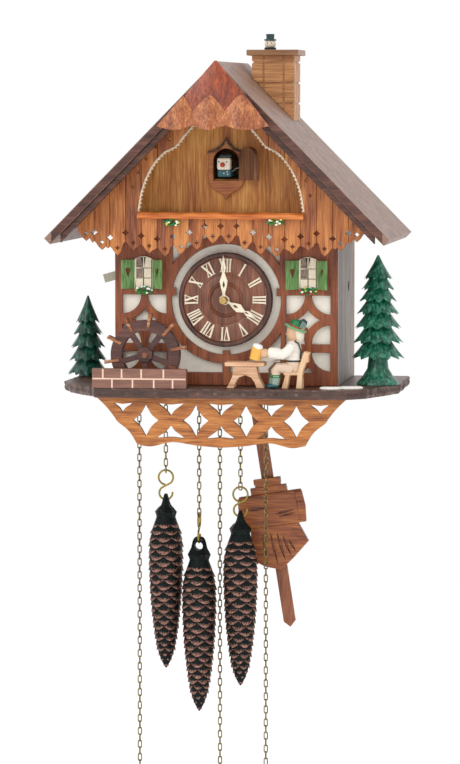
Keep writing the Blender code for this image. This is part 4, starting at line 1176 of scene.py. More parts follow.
def turned(name, x, y, profile, finish, sides=40):
    """A shape turned on the lathe, from (radius, height) pairs, on an upright axis."""
    rings = [[at(x + r * math.cos(2 * math.pi * i / sides), y + r * math.sin(2 * math.pi * i / sides), z)
        for i in range(sides)] for r, z in profile]
    return loft(name, rings, finish)


def ball(name, place, radius, finish, stretch=(1, 1, 1), sides=20):
    """A small round bead or lump, stretched along the three directions."""
    rings = []
    for j in range(1, sides // 2):
        turn = math.pi * j / (sides // 2)
        rings.append([at(place[0] + radius * stretch[0] * math.sin(turn)
            * math.cos(2 * math.pi * i / sides),
            place[1] + radius * stretch[1] * math.sin(turn)
            * math.sin(2 * math.pi * i / sides),
            place[2] - radius * stretch[2] * math.cos(turn)) for i in range(sides)])
    return loft(name, rings, finish)


cream_paint = gloss_paint("cream_paint", "efe2cc")
hat_paint = gloss_paint("dark_green_paint", "1d3b3f", 0.3)
black_paint = gloss_paint("black_paint", "15120f", 0.3)
red_paint = gloss_paint("red_paint", "c23a1e", 0.3)
SWEEP = (22.8, -42.0)
dark_coat = turned("sweep_coat", *SWEEP, [(1.6, 249.5), (4.3, 249.6), (4.6, 250.4), (4.4, 251.2),
    (2.4, 251.4)], black_paint)
face = turned("sweep_face", *SWEEP, [(0.4, 250.9), (2.6, 251.0), (3.9, 252.0), (4.35, 253.6), (4.2, 255.3),
    (3.3, 256.5), (0.5, 256.8)], cream_paint)
hat = turned("sweep_hat", *SWEEP, [(0.4, 256.35), (4.75, 256.4), (4.85, 256.9), (4.6, 257.4), (3.1, 257.5),
    (3.0, 259.4),
        (3.35, 261.0), (3.0, 261.35), (0.3, 261.4)], hat_paint)
post = turned("sweep_post", *SWEEP, [(0.4, 235.5), (2.6, 235.6), (2.6, 249.9), (0.4, 250.0)], black_paint)
eyes = [ball("eye", (SWEEP[0] + dx, SWEEP[1] - 4.05, 254.6), 0.5, black_paint, (1, 0.6, 1.2), 10)
    for dx in (-1.45, 1.25)]
sweep = join("chimney_sweep", [face, dark_coat, hat, post] + eyes)
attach(sweep, "sweep")
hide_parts("sweep")

# ---------------------------------------------------------------- dial
# Turned from one piece of lime, stained dark red-brown, with a raised dark rim. The Roman
# numerals are cream plastic castings pinned to the flat; the hands are carved-look castings.
dial_wood = stained_wood("dark_turned_dial", "44241a", "74442f", "9c6248", "Z", figure=8, fibre=0.7,
    gloss=0.34)
rim_wood = stained_wood("dark_dial_rim", "2c1711", "4b2a1e", "6f4434", "Z", figure=8, gloss=0.3)


def turned_facing(name, profile, finish, sides=96):
    """A disc turned about the dial's axis, from (radius, distance out) pairs."""
    rings = [[at(r * math.cos(2 * math.pi * i / sides), -out,
        DIAL_HEIGHT + r * math.sin(2 * math.pi * i / sides))
        for i in range(sides)] for r, out in profile]
    return loft(name, rings, finish)


flat = turned_facing("dial_flat", [(0.6, 119.5), (32.2, 119.5), (32.2, 123.6), (31.2, 124.2), (19.2, 124.1),
    (18.6, 123.7),
        (18.0, 124.1), (13.2, 124.2), (12.8, 124.9), (11.9, 125.3),
        (11.0, 124.9), (10.6, 124.2),
        (7.0, 124.4), (0.6, 124.6)], dial_wood)
rim = turned_facing("dial_rim", [(31.4, 119.4), (35.0, 119.4), (35.0, 124.6), (34.4, 125.6), (33.2, 125.9),
    (32.1, 125.5),
        (31.5, 124.4)], rim_wood)
# The rim's inner wall closes the ring, so its last ring joins the first.
shape = bmesh.new()
shape.from_mesh(rim.data)
bmesh.ops.delete(shape, geom=[f for f in shape.faces if len(f.verts) > 4], context="FACES_ONLY")
open_edges = [edge for edge in shape.edges if edge.is_boundary]
bmesh.ops.bridge_loops(shape, edges=open_edges)
bmesh.ops.recalc_face_normals(shape, faces=shape.faces)
shape.to_mesh(rim.data)
shape.free()
rim.data.materials.clear()
rim.data.materials.append(rim_wood)
for piece in (flat, rim):
    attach(piece, "case")
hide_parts("dial")

ivory = gloss_paint("cream_cast_plastic", "f8ecd2", 0.42)
STEM, SERIF = 1.35, 0.55
letters = []


def stroke(near_end, far_end, wide):
    """One bar of a numeral, drawn from the inner circle to the outer."""
    (x0, z0), (x1, z1) = near_end, far_end
    far = math.hypot(x1 - x0, z1 - z0)
    nx, nz = -(z1 - z0) / far * wide / 2, (x1 - x0) / far * wide / 2
    return [(x0 + nx, z0 + nz), (x0 - nx, z0 - nz), (x1 - nx, z1 - nz), (x1 + nx, z1 + nz)]


NUMERALS = ("XII", "I", "II", "III", "IIII", "V", "VI", "VII", "VIII", "IX", "X", "XI")
WIDTHS = {"I": 2.3, "V": 5.2, "X": 5.6}
INNER, OUTER_END = 20.4, 30.4
for hour, numeral in enumerate(NUMERALS):
    total = sum(WIDTHS[letter] for letter in numeral)
    squeeze = min(1.0, 10.6 / total)
    place = -total * squeeze / 2
    shapes = []
    for letter in numeral:
        wide = WIDTHS[letter] * squeeze
        left, right, mid = place + 0.35, place + wide - 0.35, place + wide / 2
        if letter == "I":
            shapes.append(stroke((mid, INNER), (mid, OUTER_END), STEM * squeeze ** 0.5))
        elif letter == "V":
            shapes.append(stroke((mid, INNER), (left + 0.5, OUTER_END), STEM * 1.1))
            shapes.append(stroke((mid, INNER), (right - 0.3, OUTER_END), STEM * 0.55))
        else:
            shapes.append(stroke((right - 0.5, INNER), (left + 0.5, OUTER_END), STEM * 1.1))
            shapes.append(stroke((left + 0.4, INNER), (right - 0.4, OUTER_END), STEM * 0.55))
        for end, lean in ((INNER, 1), (OUTER_END, -1)):
            if letter == "V" and end == INNER:
                continue
            shapes.append([(left - 0.2, end), (right + 0.2, end), (right + 0.2, end + lean * SERIF),
                (left - 0.2, end + lean * SERIF)])
        place += wide
    angle = math.radians(90 - 30 * hour)
    for bar_shape in shapes:
        turned_shape = []
        for u, r in bar_shape:
            spread = u * (0.82 + 0.18 * (r - INNER) / (OUTER_END - INNER))
            turned_shape.append((r * math.cos(angle) + spread * math.sin(angle),
                r * math.sin(angle) - spread * math.cos(angle)))
        letters.append(fretwork("numeral", [turned_shape], 125.0 + 0.004 * (len(letters) % 7), 1.0, ivory,
            edge=0.12,
            middle=(0, 0, DIAL_HEIGHT)))
numerals = join("roman_numerals", letters)
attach(numerals, "case")

# Both hands are cream castings with leaf-shaped holes, held by a domed brass nut.
nut_brass, tree, shader = new_finish("polished_hand_nut_brass", Metallic=1.0, Roughness=0.2)
shader.inputs["Base Color"].default_value = linear("d8c096")


def leaf(length, wide, from_hub):
    """Half-outlines of a carved hand: hub, waist, leaf, waist, leaf and point."""
    half = [(0.0, 3.4), (2.2, 3.2), (3.4, 1.6), (3.9, 1.0), (from_hub, 1.0),
        (from_hub + (length - from_hub) * 0.16, wide * 0.72),
            (from_hub + (length - from_hub) * 0.32, wide),
        (from_hub + (length - from_hub) * 0.47, wide * 0.5),
            (from_hub + (length - from_hub) * 0.55, 0.75),
        (from_hub + (length - from_hub) * 0.66, wide * 0.62),
            (from_hub + (length - from_hub) * 0.8, wide * 0.42), (length, 0.15)]
    return half


for name, length, wide, near, angle in (("minute_hand", 33.0, 3.0, 132.4, 91.0),
    ("hour_hand", 27.0, 3.3, 129.9, -30.0)):
    half = leaf(length, wide, 5.2)
    outline = half + [(r, -s) for r, s in reversed(half)] + [(-2.6, -2.2), (-3.3, 0.0), (-2.6, 2.2)]
    holes = [[(length * 0.27, 0), (length * 0.34, 0.95), (length * 0.44, 0), (length * 0.34, -0.95)],
        [(length * 0.64, 0), (length * 0.69, 0.6), (length * 0.79, 0), (length * 0.69, -0.6)]]
    turn = math.radians(angle)
    placed = [[(r * math.cos(turn) - s * math.sin(turn), r * math.sin(turn) + s * math.cos(turn))
        for r, s in line]
        for line in [outline] + holes]
    hand = fretwork(f"{name}_casting", placed, near, 1.4, ivory, edge=0.3, middle=(0, 0, DIAL_HEIGHT))
    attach(hand, name)
    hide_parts(name)
nut = turned_facing("hand_nut", [(0.4, 130.8), (2.9, 131.0), (3.1, 132.6), (2.7, 133.5), (1.6, 134.1),
    (0.4, 134.3)], nut_brass, 40)
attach(nut, "minute_hand")

# ---------------------------------------------------------------- windows
# Cream cast sashes with six panes over a lace curtain. Two thin shutters stand open beside
# each, brushed green, with a heart cut in each leaf, and a bunch of paper flowers below.
sash_paint = gloss_paint("cream_window_paint", "f1e3c8", 0.4)
shutter_paint, tree, shader = new_finish("brushed_green_shutter", Roughness=0.42)
place = add_node(tree, "ShaderNodeTexCoord")
dragged = add_node(tree, "ShaderNodeMapping", {"Vector": place.outputs["Object"], "Scale": (900, 900, 110)})
drag = add_node(tree, "ShaderNodeTexNoise", {"Vector": dragged.outputs[0], "Scale": 1.0, "Detail": 4.0})
greens = add_node(tree, "ShaderNodeValToRGB", {"Fac": drag.outputs["Fac"]})
greens.color_ramp.elements[0].position, greens.color_ramp.elements[1].position = 0.3, 0.72
greens.color_ramp.elements[0].color = linear("3f6a26")
greens.color_ramp.elements[1].color = linear("7fa566")
tree.links.new(greens.outputs["Color"], shader.inputs["Base Color"])
lace, tree, shader = new_finish("lace_curtain_behind_glass", Roughness=0.28)
place = add_node(tree, "ShaderNodeTexCoord")
mesh_holes = add_node(tree, "ShaderNodeTexVoronoi", {"Vector": place.outputs["Object"], "Scale": 900.0})
# The curtain is a flat sheet; this noise darkens it in patches as if it were folded: painted shade of
# folds.
painted_fold_shade = noise_at(tree, place, 330.0, 2.0)
lacy = add_node(tree, "ShaderNodeMath", {0: mesh_holes.outputs["Distance"], 1: painted_fold_shade.outputs["Fac"]},
    operation="MULTIPLY")
tint = add_node(tree, "ShaderNodeMapRange", {"Value": lacy.outputs[0], "From Max": 0.5})
lace_colour = add_node(tree, "ShaderNodeMix",
    {0: tint.outputs[0], 6: linear("5f4c41"), 7: linear("a58d7c")}, data_type="RGBA")
tree.links.new(lace_colour.outputs[2], shader.inputs["Base Color"])
WINDOW_LOW, SHUTTER = 71.5, (71.8, 93.4)
leaf_green = gloss_paint("leaf_green_paint", "1f8a3c", 0.5)
petal_white = gloss_paint("petal_white", "f7f6ee", 0.5)
petal_yellow = gloss_paint("petal_yellow", "e8cf5a", 0.5)
petal_red = gloss_paint("petal_red", "c8362c", 0.5)


def flower_bunch(name, place, wide, high, deep, colours, seed, leaves=46, flowers=9):
    """Scattered leaves with small flowers over them, glued on in a bunch."""
    draw = random.Random(seed)
    grown = []
    for i in range(leaves + flowers):
        u, v = draw.uniform(-1, 1), draw.uniform(-1, 1)
        w = draw.uniform(-0.2, 1)
        if u * u + v * v * 0.8 > 1:
            u, v = u * 0.65, v * 0.65
        spot = (place[0] + u * wide / 2, place[1] - w * deep * (1 - 0.4 * abs(u)), place[2] + v * high / 2)
        if i < leaves:
            blade = ball("leaf", spot, draw.uniform(1.0, 1.6), leaf_green, (1.0, 0.6, 0.5), 6)
        else:
            spot = (spot[0], place[1] - deep * 0.95, spot[2])
            blade = ball("flower", spot, draw.uniform(0.75, 1.15), draw.choice(colours), (1, 0.7, 0.9), 8)
        grown.append(blade)
    return join(name, grown)


for side_name, middle_x, seed in (("left", -61.5, 3), ("right", 61.5, 11)):
    arch = [(-6.8, WINDOW_LOW), (6.8, WINDOW_LOW), (6.8, 93.0)] + \
           [(6.8 * math.cos(math.radians(a)), 93.0 + 2.6 * math.sin(math.radians(a)))
        for a in range(15, 180, 15)] + [(-6.8, 93.0)]
    panes = []
    for row in range(3):
        low = WINDOW_LOW + 1.3 + row * 7.45
        for sign in (-1, 1):
            near_x, far_x = sign * 0.65, sign * 5.5
            if row < 2:
                panes.append([(near_x, low), (far_x, low), (far_x, low + 6.3), (near_x, low + 6.3)])
            else:
                panes.append([(near_x, low), (far_x, low), (far_x, low + 6.0), (sign * 3.4, low + 7.3),
                    (near_x, low + 7.9)])
    sash = fretwork(f"window_sash_{side_name}",
        [[(middle_x + x, z) for x, z in line] for line in [arch] + panes],
        123.6, 1.7, sash_paint, edge=0.25)
    glass = fretwork(f"curtain_{side_name}",
        [[(middle_x + x * 0.93, WINDOW_LOW + (z - WINDOW_LOW) * 0.97 + 0.3) for x, z in arch]],
        122.0, 0.7, lace, edge=0.1)
    leaves = []
    for sign, opened in ((-1, 40), (1, 48)):
        outline = [(0.2, SHUTTER[0]), (11.5, SHUTTER[0]), (11.5, SHUTTER[1]), (0.2, SHUTTER[1])]
        heart_x, heart_z = 5.9, 84.6
        heart = [(heart_x, heart_z - 4.4), (heart_x + 2.3, heart_z + 0.6), (heart_x + 2.4, heart_z + 2.0),
            (heart_x + 1.5, heart_z + 3.0), (heart_x + 0.6, heart_z + 2.7), (heart_x, heart_z + 1.9),
            (heart_x - 0.6, heart_z + 2.7), (heart_x - 1.5, heart_z + 3.0),
            (heart_x - 2.4, heart_z + 2.0),
            (heart_x - 2.3, heart_z + 0.6)]
        shutter = fretwork("shutter", [[(sign * x, z) for x, z in line] for line in (outline, heart)],
            0.8, 1.6, shutter_paint, edge=0.25)
        hinge = at(middle_x + sign * 6.9, -122.4, 0)
        swing = Matrix.Translation(hinge) @ Matrix.Rotation(math.radians(-sign * opened), 4,
            "Z") @ Matrix.Translation(-at(0, 0, 0))
        shutter.data.transform(swing)
        leaves.append(shutter)
    shutters = join(f"shutters_{side_name}", leaves)
    flowers = flower_bunch(f"window_flowers_{side_name}", (middle_x + 0.2, -123.2, 70.6), 14.0, 6.0, 3.6,
        [petal_white, petal_white, petal_yellow] if side_name == "left" else
        [petal_white, petal_yellow, petal_red], seed)
    for piece, slot_name in ((sash, "cream_plastic"), (glass, "cream_plastic"), (shutters, "green_wood"),
        (flowers, "green_wood")):
        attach(piece, "case")
    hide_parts(f"window_{side_name}")
for number, (x, z) in enumerate(((-36, 121.9), (41, 122.8))):
    moss = flower_bunch(f"moss_bunch_{number + 1}", (x, -149.6, z), 13, 4.6, 4.5,
        [petal_white, petal_white, petal_yellow], 20 + number, 40, 7)
    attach(moss, "case")

# ---------------------------------------------------------------- cuckoo and its door
# A shield-shaped plate frames the doorway, with a carved brow over it and a carved point
# below. The leaf swings on a wire pin, pulled by a wire from the bird's perch.
shield_wood = stained_wood("orange_shield_plate", "7a3a17", "a95f2c", "c98045", "X", figure=5, gloss=0.4,
    edge="5a2d16")
brow_wood = stained_wood("dark_carved_brow", "2b160e", "54301e", "8a6a48", "X", figure=4, gloss=0.4)
right_side = [(13.2, 151.5), (13.4, 154), (13.2, 173.5), (10.8, 174.2)]
brow = smooth_line([(10.8, 174.2), (5.8, 176.0), (2.6, 178.8), (0, 182.5)], 4)
point = smooth_line([(0, 138.0), (3.0, 141.8), (7.5, 144.2), (11.8, 147.8), (13.2, 151.5)], 4)
half = point + right_side[1:] + brow[1:]
door_low, door_spring, door_half = 152.3, 166.2, 9.4
doorway = [(-door_half, door_low), (door_half, door_low)] + round_part((0, door_spring), door_half, 0, 180,
    20)
shield = fretwork("door_shield", [half + [(-x, z) for x, z in reversed(half[1:-1])], doorway], 120.5, 3.1,
    shield_wood, edge=0.7)
rim_line = smooth_line([(14.0, 173.4), (9.5, 174.6), (5.4, 176.9), (2.4, 180.1), (0, 184.4)], 6)
low_line = smooth_line([(0, 181.2), (2.0, 177.6), (5.2, 174.8), (9.5, 172.9), (14.0, 172.0)], 6)
brow = fretwork("carved_brow", [rim_line + [(-x, z) for x, z in reversed(rim_line[:-1])] +
        [(-x, z) for x, z in reversed(low_line)] + low_line[1:]], 121.0, 3.4,
        brow_wood, edge=0.4)
for piece in (shield, brow):
    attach(piece, "case")
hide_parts("door_surround")

door_wood = stained_wood("plain_brown_door", "4e3022", "7d5238", "9c6d4e", "Z", figure=6, gloss=0.45)
leaf_line = [(-20.8, -12.5), (-0.6, -12.5)] + round_part((-10.7, 2.0), 10.1, 0, 180, 18)
door = fretwork("door_leaf", [[(x, z) for x, z in leaf_line]], 2.0, 4.0, door_wood, edge=0.5)
hinge = at(10.8, -123.1, 165)
door.data.transform(Matrix.Translation(hinge) @ Matrix.Rotation(math.radians(135), 4, "Z")
    @ Matrix.Translation(-at(0, 0, 0)))
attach(door, "cuckoo_door")
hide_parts("cuckoo_door")

bird_teal = gloss_paint("bird_teal_paint", "1e5f68", 0.35)
bird_parts = [block("bird_head", (-4.9, 5.0), (-134.6, -125.5), (160.2, 169.0), cream_paint, 1.3),
    block("bird_cap", (-3.2, 5.2), (-132.4, -124.9), (168.4, 171.6), hat_paint, 1.1),
    block("bird_breast", (-5.0, 5.0), (-131.0, -111.0), (154.9, 160.6), bird_teal, 1.2),
    block("bird_rod", (-1.2, 1.2), (-112.0, -90.0), (157.0, 160.0), bare_wood, 0.3),
    ball("beak", (-0.6, -135.3, 163.9), 1.75, red_paint, (1, 0.9, 1), 16)]
bird_parts += [ball("eye", (x, -134.5, 166.2), 0.62, black_paint, (0.9, 0.5, 1.3), 10) for x in (-3.4, 2.5)]
bird_parts += [ball("speck", (x, -131.1, z), 0.55, cream_paint, (1, 0.5, 1), 8)
    for x, z in ((-0.2, 157.6), (2.2, 158.8), (2.6, 156.9))]
bird = join("painted_cuckoo", bird_parts)
link = bent_wire("door_link_wire", [at(*p)
    for p in ((4.0, -128.5, 158.2), (6.6, -131.5, 159.4), (9.0, -133.6, 161.2), (11.6, -133.9, 161.8))],
    0.5 * MM, wire_steel)
for piece in (bird, link):
    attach(piece, "cuckoo")
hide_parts("cuckoo")

# ---------------------------------------------------------------- fir trees
# Turned from one stick as a stack of cones, each rim notched with a knife into hanging
# tips, then painted glossy dark green with a few pale strokes dragged down it.
def needle_paint(name, dark, mid, pale):
    """Glossy green paint with paler strokes dragged down the cones."""
    finish, tree, shader = new_finish(name, Roughness=0.3)
    place = add_node(tree, "ShaderNodeTexCoord")
    dragged = add_node(tree, "ShaderNodeMapping",
        {"Vector": place.outputs["Object"], "Scale": (480, 480, 150)})
    drag = add_node(tree, "ShaderNodeTexNoise",
        {"Vector": dragged.outputs[0], "Scale": 1.0, "Detail": 4.0, "Roughness": 0.65})
    strokes = add_node(tree, "ShaderNodeValToRGB", {"Fac": drag.outputs["Fac"]})
    strokes.color_ramp.elements[0].position, strokes.color_ramp.elements[1].position = 0.34, 0.74
    strokes.color_ramp.elements[0].color = linear(dark)
    strokes.color_ramp.elements[1].color = linear(pale)
    middle = strokes.color_ramp.elements.new(0.52)
    middle.color = linear(mid)
    tree.links.new(strokes.outputs["Color"], shader.inputs["Base Color"])
    relief = add_node(tree, "ShaderNodeBump",
        {"Height": drag.outputs["Fac"], "Strength": 0.7, "Distance": 0.0004})
    tree.links.new(relief.outputs[0], shader.inputs["Normal"])
    return finish


TREES = (("fir_tree_right", (110.7, -95.0), 96.5,
    ((10.8, 78.5), (12.6, 70.5), (14.6, 62.0), (16.4, 52.5), (17.8, 42.0), (19.2, 31.0),
    (20.2, 19.5)),
    ((7.0, 20.5), (8.0, 12), (12.0, 5.5), (15.5, 1.8), (15.8, 0.3)),
    needle_paint("glossy_fir_green", "022a22", "16634a", "5fa287")),
    # The left tree takes a darker copy of the same green paint: painted shade.
    ("fir_tree_left", (-118.2, -40.0), 62.0,
    ((9.4, 41.0), (11.8, 32.0), (13.6, 22.0), (14.8, 12.0), (16.2, 1.6)), ((7, 4.0), (7.2, 0.3)),
    needle_paint("shaded_fir_green", "021d17", "0f4435", "2f7a60")))
for name, (x, y), top, tiers, foot, paint in TREES:
    draw = random.Random(len(name))
    grown = []
    crown = top
    for number, (radius, low) in enumerate(tiers):
        inner = 0.6 if number == 0 else tiers[number - 1][0] * 0.42
        teeth, tip = 9 + number // 2, draw.uniform(0, 6)
        sides = teeth * 4
        rings = []
        for t, droop in ((0.0, 0), (0.35, 0), (0.7, 0), (1.0, 0), (1.0, 1), (0.72, 1), (0.3, 1)):
            ring = []
            for i in range(sides):
                angle = 2 * math.pi * i / sides + tip
                tooth = abs((i % 4) - 2) / 2
                wide = inner + (radius - inner) * t ** 1.15
                wide *= 1 - 0.2 * tooth * t * t if not droop else 1 - 0.2 * tooth * t * t - 0.05
                z = crown + (low - crown) * t + (2.4 * tooth * t * t) + (1.1 if droop else 0)
                if droop and t < 0.9:
                    z = min(z, crown - 1.0)
                    z = low + 1.8 + (1 - t) * 3.2
                    wide = max(wide * 0.6, 2.0)
                ring.append(at(x + wide * math.cos(angle), y + wide * math.sin(angle), z))
            rings.append(ring)
        grown.append(loft("tier", rings, paint, smooth=False))
        crown = low + 4.6
    grown.append(turned("trunk", x, y, [(2.0, top - 8)] + [(r, z) for r, z in foot], paint, 30))
    fir = join(f"{name}_carved", grown)
    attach(fir, "case")
    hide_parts(name)

# ---------------------------------------------------------------- mill
# The wheel is cut from dark-stained plywood: two rings on five spokes, ten lighter paddles
# glued across them, and an eight-sided boss. The low wall before it is painted as brick.
mill_wood = stained_wood("dark_mill_wheel", "2a1714", "4f2c26", "6f4438", "X", figure=5, gloss=0.4)
paddle_wood = stained_wood("paddle_wood", "5f3019", "9a5c34", "dcb48c", "X", figure=3, gloss=0.45)
MILL = (-56.8, -143.0, 24.0)
rims = [fretwork("rim", [round_part((0, 0), 25.7, 0, 360, 60)[:-1],
    round_part((0, 0), 17.4, 0, 360, 48)[:-1]], -MILL[1] + out,
    2.6, mill_wood, edge=0.4, middle=(MILL[0], 0, MILL[2])) for out in (4.4, -2.0)]
spokes = []
for k in range(5):
    turn = math.radians(-20 + 72 * k)
    outline = [(3, -1.9), (18.4, -2.2), (18.4, 2.2), (3, 1.9)]
    spokes.append(fretwork("spoke", [[(r * math.cos(turn) - s * math.sin(turn),
        r * math.sin(turn) + s * math.cos(turn))
            for r, s in outline]], -MILL[1] + 3.9, 2.4, mill_wood,
            middle=(MILL[0], 0, MILL[2])))
boss = fretwork("boss", [round_part((0, 0), 6.2, 22.5, 382.5, 8)[:-1]], -MILL[1] + 5.6, 7.4, mill_wood,
    edge=0.6,
    middle=(MILL[0], 0, MILL[2]))
axle = bar("axle", at(MILL[0], -121.6, MILL[2]), at(MILL[0], MILL[1] - 6.6, MILL[2]), 1.9 * MM, paddle_wood)
paddles = []
for k in range(10):
    turn = math.radians(11 + 36 * k)
    outline = [(19.6, -1.1), (30.8, -1.1), (30.8, 1.1), (19.6, 1.1)]
    paddles.append(fretwork("paddle", [[(r * math.cos(turn) - s * math.sin(turn),
        r * math.sin(turn) + s * math.cos(turn))
            for r, s in outline]], -MILL[1] + 5.3, 10.4, paddle_wood, edge=0.25,
            middle=(MILL[0], 0, MILL[2])))
wheel = join("mill_wheel", rims + spokes + [boss])
blades = join("mill_paddles", paddles + [axle])
for piece in (wheel, blades):
    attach(piece, "water_wheel")
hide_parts("water_wheel")

brick_paint = stained_wood("brick_brown_paint", "5f3f33", "7f5648", "96695a", "X", figure=8, gloss=0.5)
mortar = gloss_paint("cream_mortar_line", "f0cdb4", 0.55)
wall = block("brick_wall_block", (-94, -24), (-161, -154.5), (0.3, 14.5), brick_paint, 0.3)
lines = [block("course", (-93.6, -24.4), (-161.25, -160.9), (6.6, 7.7), mortar, 0.1)]
for row, joints in (((7.4, 14.3), (-85.9, -71.9, -57.3, -40.8)),
    ((0.5, 6.9), (-79.1, -63.8, -48.0, -34.0))):
    lines += [block("joint", (x - 0.6, x + 0.6), (-161.25, -160.9), row, mortar, 0.1) for x in joints]
lines = join("mortar_lines", lines)
for piece in (wall, lines):
    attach(piece, "case")
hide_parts("brick_wall")

# ---------------------------------------------------------------- table and drinker
# The table is bare lime: a plank on two arched trestles. The seated man is whittled from
# lime and painted, on a plain beech chair; his near arm turns on a pin and lifts the mug.
table_wood = stained_wood("bare_lime_table", "b07d58", "d9ab86", "ecccae", "X", figure=5, gloss=0.55)
chair_wood = stained_wood("bare_beech_chair", "c39670", "dfb78e", "efd3b0", "Z", figure=5, gloss=0.55)
top = block("table_top", (3.4, 32.6), (-153.0, -137.0), (16.5, 19.6), table_wood, 0.5)
trestle = [(4.6, 0.3), (9.9, 0.3), (11.2, 4.6), (13.6, 8.2), (18.4, 9.9), (22.6, 8.2), (25.2, 4.6),
    (26.8, 0.3), (32.4, 0.3),
    (28.2, 8.5), (26.4, 16.6), (9.8, 16.6), (8.6, 8.5)]
trestles = [fretwork("trestle", [trestle], near, 2.6, table_wood, edge=0.3) for near in (150.6, 142.0)]
table = join("trestle_table", [top] + trestles)
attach(table, "case")
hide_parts("beer_table")

shirt = gloss_paint("shirt_white_paint", "f6eee2", 0.5)
skin = gloss_paint("skin_paint", "e0b48f", 0.5)
breeches = gloss_paint("buff_breeches_paint", "e6cab0", 0.5)
# A darker brown copy of the breeches for the far leg: painted shade.
far_leg_painted_shade = gloss_paint("brown_shade_paint", "94795f", 0.5)
boots = gloss_paint("teal_boot_paint", "2a5f68", 0.4)
socks = gloss_paint("grey_green_sock_paint", "9db8a8", 0.5)
brim_paint = gloss_paint("light_green_brim_paint", "7fbb83", 0.45)
felt_paint = gloss_paint("green_felt_paint", "0f7a43", 0.45)
mug_glaze = gloss_paint("amber_beer_paint", "f2b64e", 0.3)
foam_paint = gloss_paint("foam_paint", "eef1ee", 0.5)


def limb(name, line, finish, flatten=0.8, sides=16):
    """A whittled rounded limb along (place, radius) pairs."""
    rings = []
    for i, (spot, radius) in enumerate(line):
        before, after = Vector(line[max(i - 1, 0)][0]), Vector(line[min(i + 1, len(line) - 1)][0])
        along = (after - before).normalized()
        aside = Vector((0, 1, 0))
        up = along.cross(aside).normalized()
        ring = [Vector(spot) + aside * radius * flatten * math.cos(2 * math.pi * k / sides)
                + up * radius * math.sin(2 * math.pi * k / sides) for k in range(sides)]
        rings.append([at(*p) for p in ring])
    return loft(name, rings, finish)


body_y = -144.4
man = [
    limb("torso", [((53.0, body_y, 19.5), 5.6), ((53.2, body_y, 22), 6.3), ((53.0, body_y, 27), 6.4),
        ((53.4, body_y, 31.5), 5.8),
    ((53.8, body_y, 34.2), 4.2), ((53.8, body_y, 35.8), 2.6)], shirt, 0.95),
    limb("hips", [((55.0, body_y, 11.4), 3.6), ((54.6, body_y, 14), 5.2), ((53.4, body_y, 18), 5.9),
        ((53.2, body_y, 20.6), 5.8)], breeches, 0.95),
    limb("head", [((53.4, body_y, 34.6), 2.6), ((53.4, body_y, 36.4), 4.0), ((53.2, body_y, 39), 4.8),
        ((53.3, body_y, 42.5), 4.9),
    ((53.5, body_y, 45.5), 4.4), ((53.6, body_y, 47), 3.0)], skin, 0.95),
    limb("hair", [((57.4, body_y, 34.9), 2.2), ((57.8, body_y, 37.5), 3.4), ((57.6, body_y, 40.5), 3.9),
        ((56.4, body_y, 44), 3.6)], cream_paint, 1.25),
    ball("nose", (48.5, body_y, 40.2), 0.9, skin, (1.1, 0.8, 1), 10)]
# The near leg wears the breeches colour, the far leg the darker brown, which is painted shade.
for y, knee_shift, pants in ((body_y - 3.2, 0.0, breeches), (body_y + 3.4, -3.0, far_leg_painted_shade)):
    man.append(limb("thigh", [((53.0, y, 13.8), 3.8), ((47.5, y, 15.2), 4.1),
        ((42.5 + knee_shift, y, 15.4), 3.9),
        ((40.4 + knee_shift, y, 13.0), 3.4), ((40.9 + knee_shift, y, 10.0), 3.3)],
            pants, 0.72))
    man.append(limb("sock_top", [((41.0 + knee_shift, y, 10.2), 3.5), ((41.0 + knee_shift, y, 8.0), 3.5)],
        felt_paint, 0.74))
    man.append(limb("calf", [((41.0 + knee_shift, y, 8.2), 3.1), ((40.6 + knee_shift, y, 5.0), 3.0),
        ((40.2 + knee_shift, y, 3.0), 2.8)], socks, 0.74))
    man.append(limb("boot", [((42.4 + knee_shift, y, 1.9), 1.6), ((40.4 + knee_shift, y, 2.2), 2.1),
        ((37.0 + knee_shift, y, 1.8), 1.5),
        ((34.4 + knee_shift, y, 1.4), 0.9)], boots, 1.0))
    man += [ball("sock_dot", (39.6 + knee_shift + 1.5 * k, y - 2.5, 9.1), 0.45, shirt, (1, 0.5, 1), 8)
        for k in range(3)]
man.append(limb("far_arm", [((52.5, body_y + 5, 31.5), 2.4), ((47.5, body_y + 5.2, 25.5), 2.5),
    ((41.0, body_y + 4.6, 22.2), 2.2),
    ((36.0, body_y + 3.6, 20.9), 1.7)], shirt, 0.9))
belt = limb("belt", [((53.3, body_y, 19.9), 6.15), ((53.3, body_y, 21.1), 6.25)], black_paint, 0.96)
brace = bent_wire("brace", [at(*p) for p in ((58.9, body_y - 3.6, 22.0), (59.4, body_y - 4.2, 28.0),
    (57.6, body_y - 4.4, 33.4),
        (54.6, body_y - 4.2, 35.4))], 1.1 * MM, black_paint)
tilt = Matrix.Translation(at(54.8, body_y, 44.4)) @ Matrix.Rotation(math.radians(22), 4,
    "Y") @ Matrix.Translation(-at(0, 0, 0))
brim = turned("brim", 0, 0, [(0.4, -0.6), (7.6, -0.7), (8.7, 0.0), (8.2, 0.8), (5.0, 1.0), (0.4, 1.1)],
    brim_paint)
crown = turned("hat_crown", 0, 0, [(0.4, 0.9), (5.2, 0.9), (5.0, 3.4), (4.0, 5.8), (2.6, 6.5), (0.4, 6.7)],
    felt_paint)
for piece in (brim, crown):
    piece.data.transform(tilt)
band = turned("hat_band", 0, 0, [(0.4, 1.0), (5.35, 1.0), (5.3, 1.9), (0.4, 2.0)], red_paint)
band.data.transform(tilt)
brush = limb("hat_brush", [((58.0, body_y - 2.8, 44.6), 1.2), ((59.6, body_y - 3.0, 46.8), 2.4),
    ((61.4, body_y - 3.0, 49.0), 2.9), ((62.6, body_y - 3.0, 50.6), 1.7)], hat_paint, 0.8)
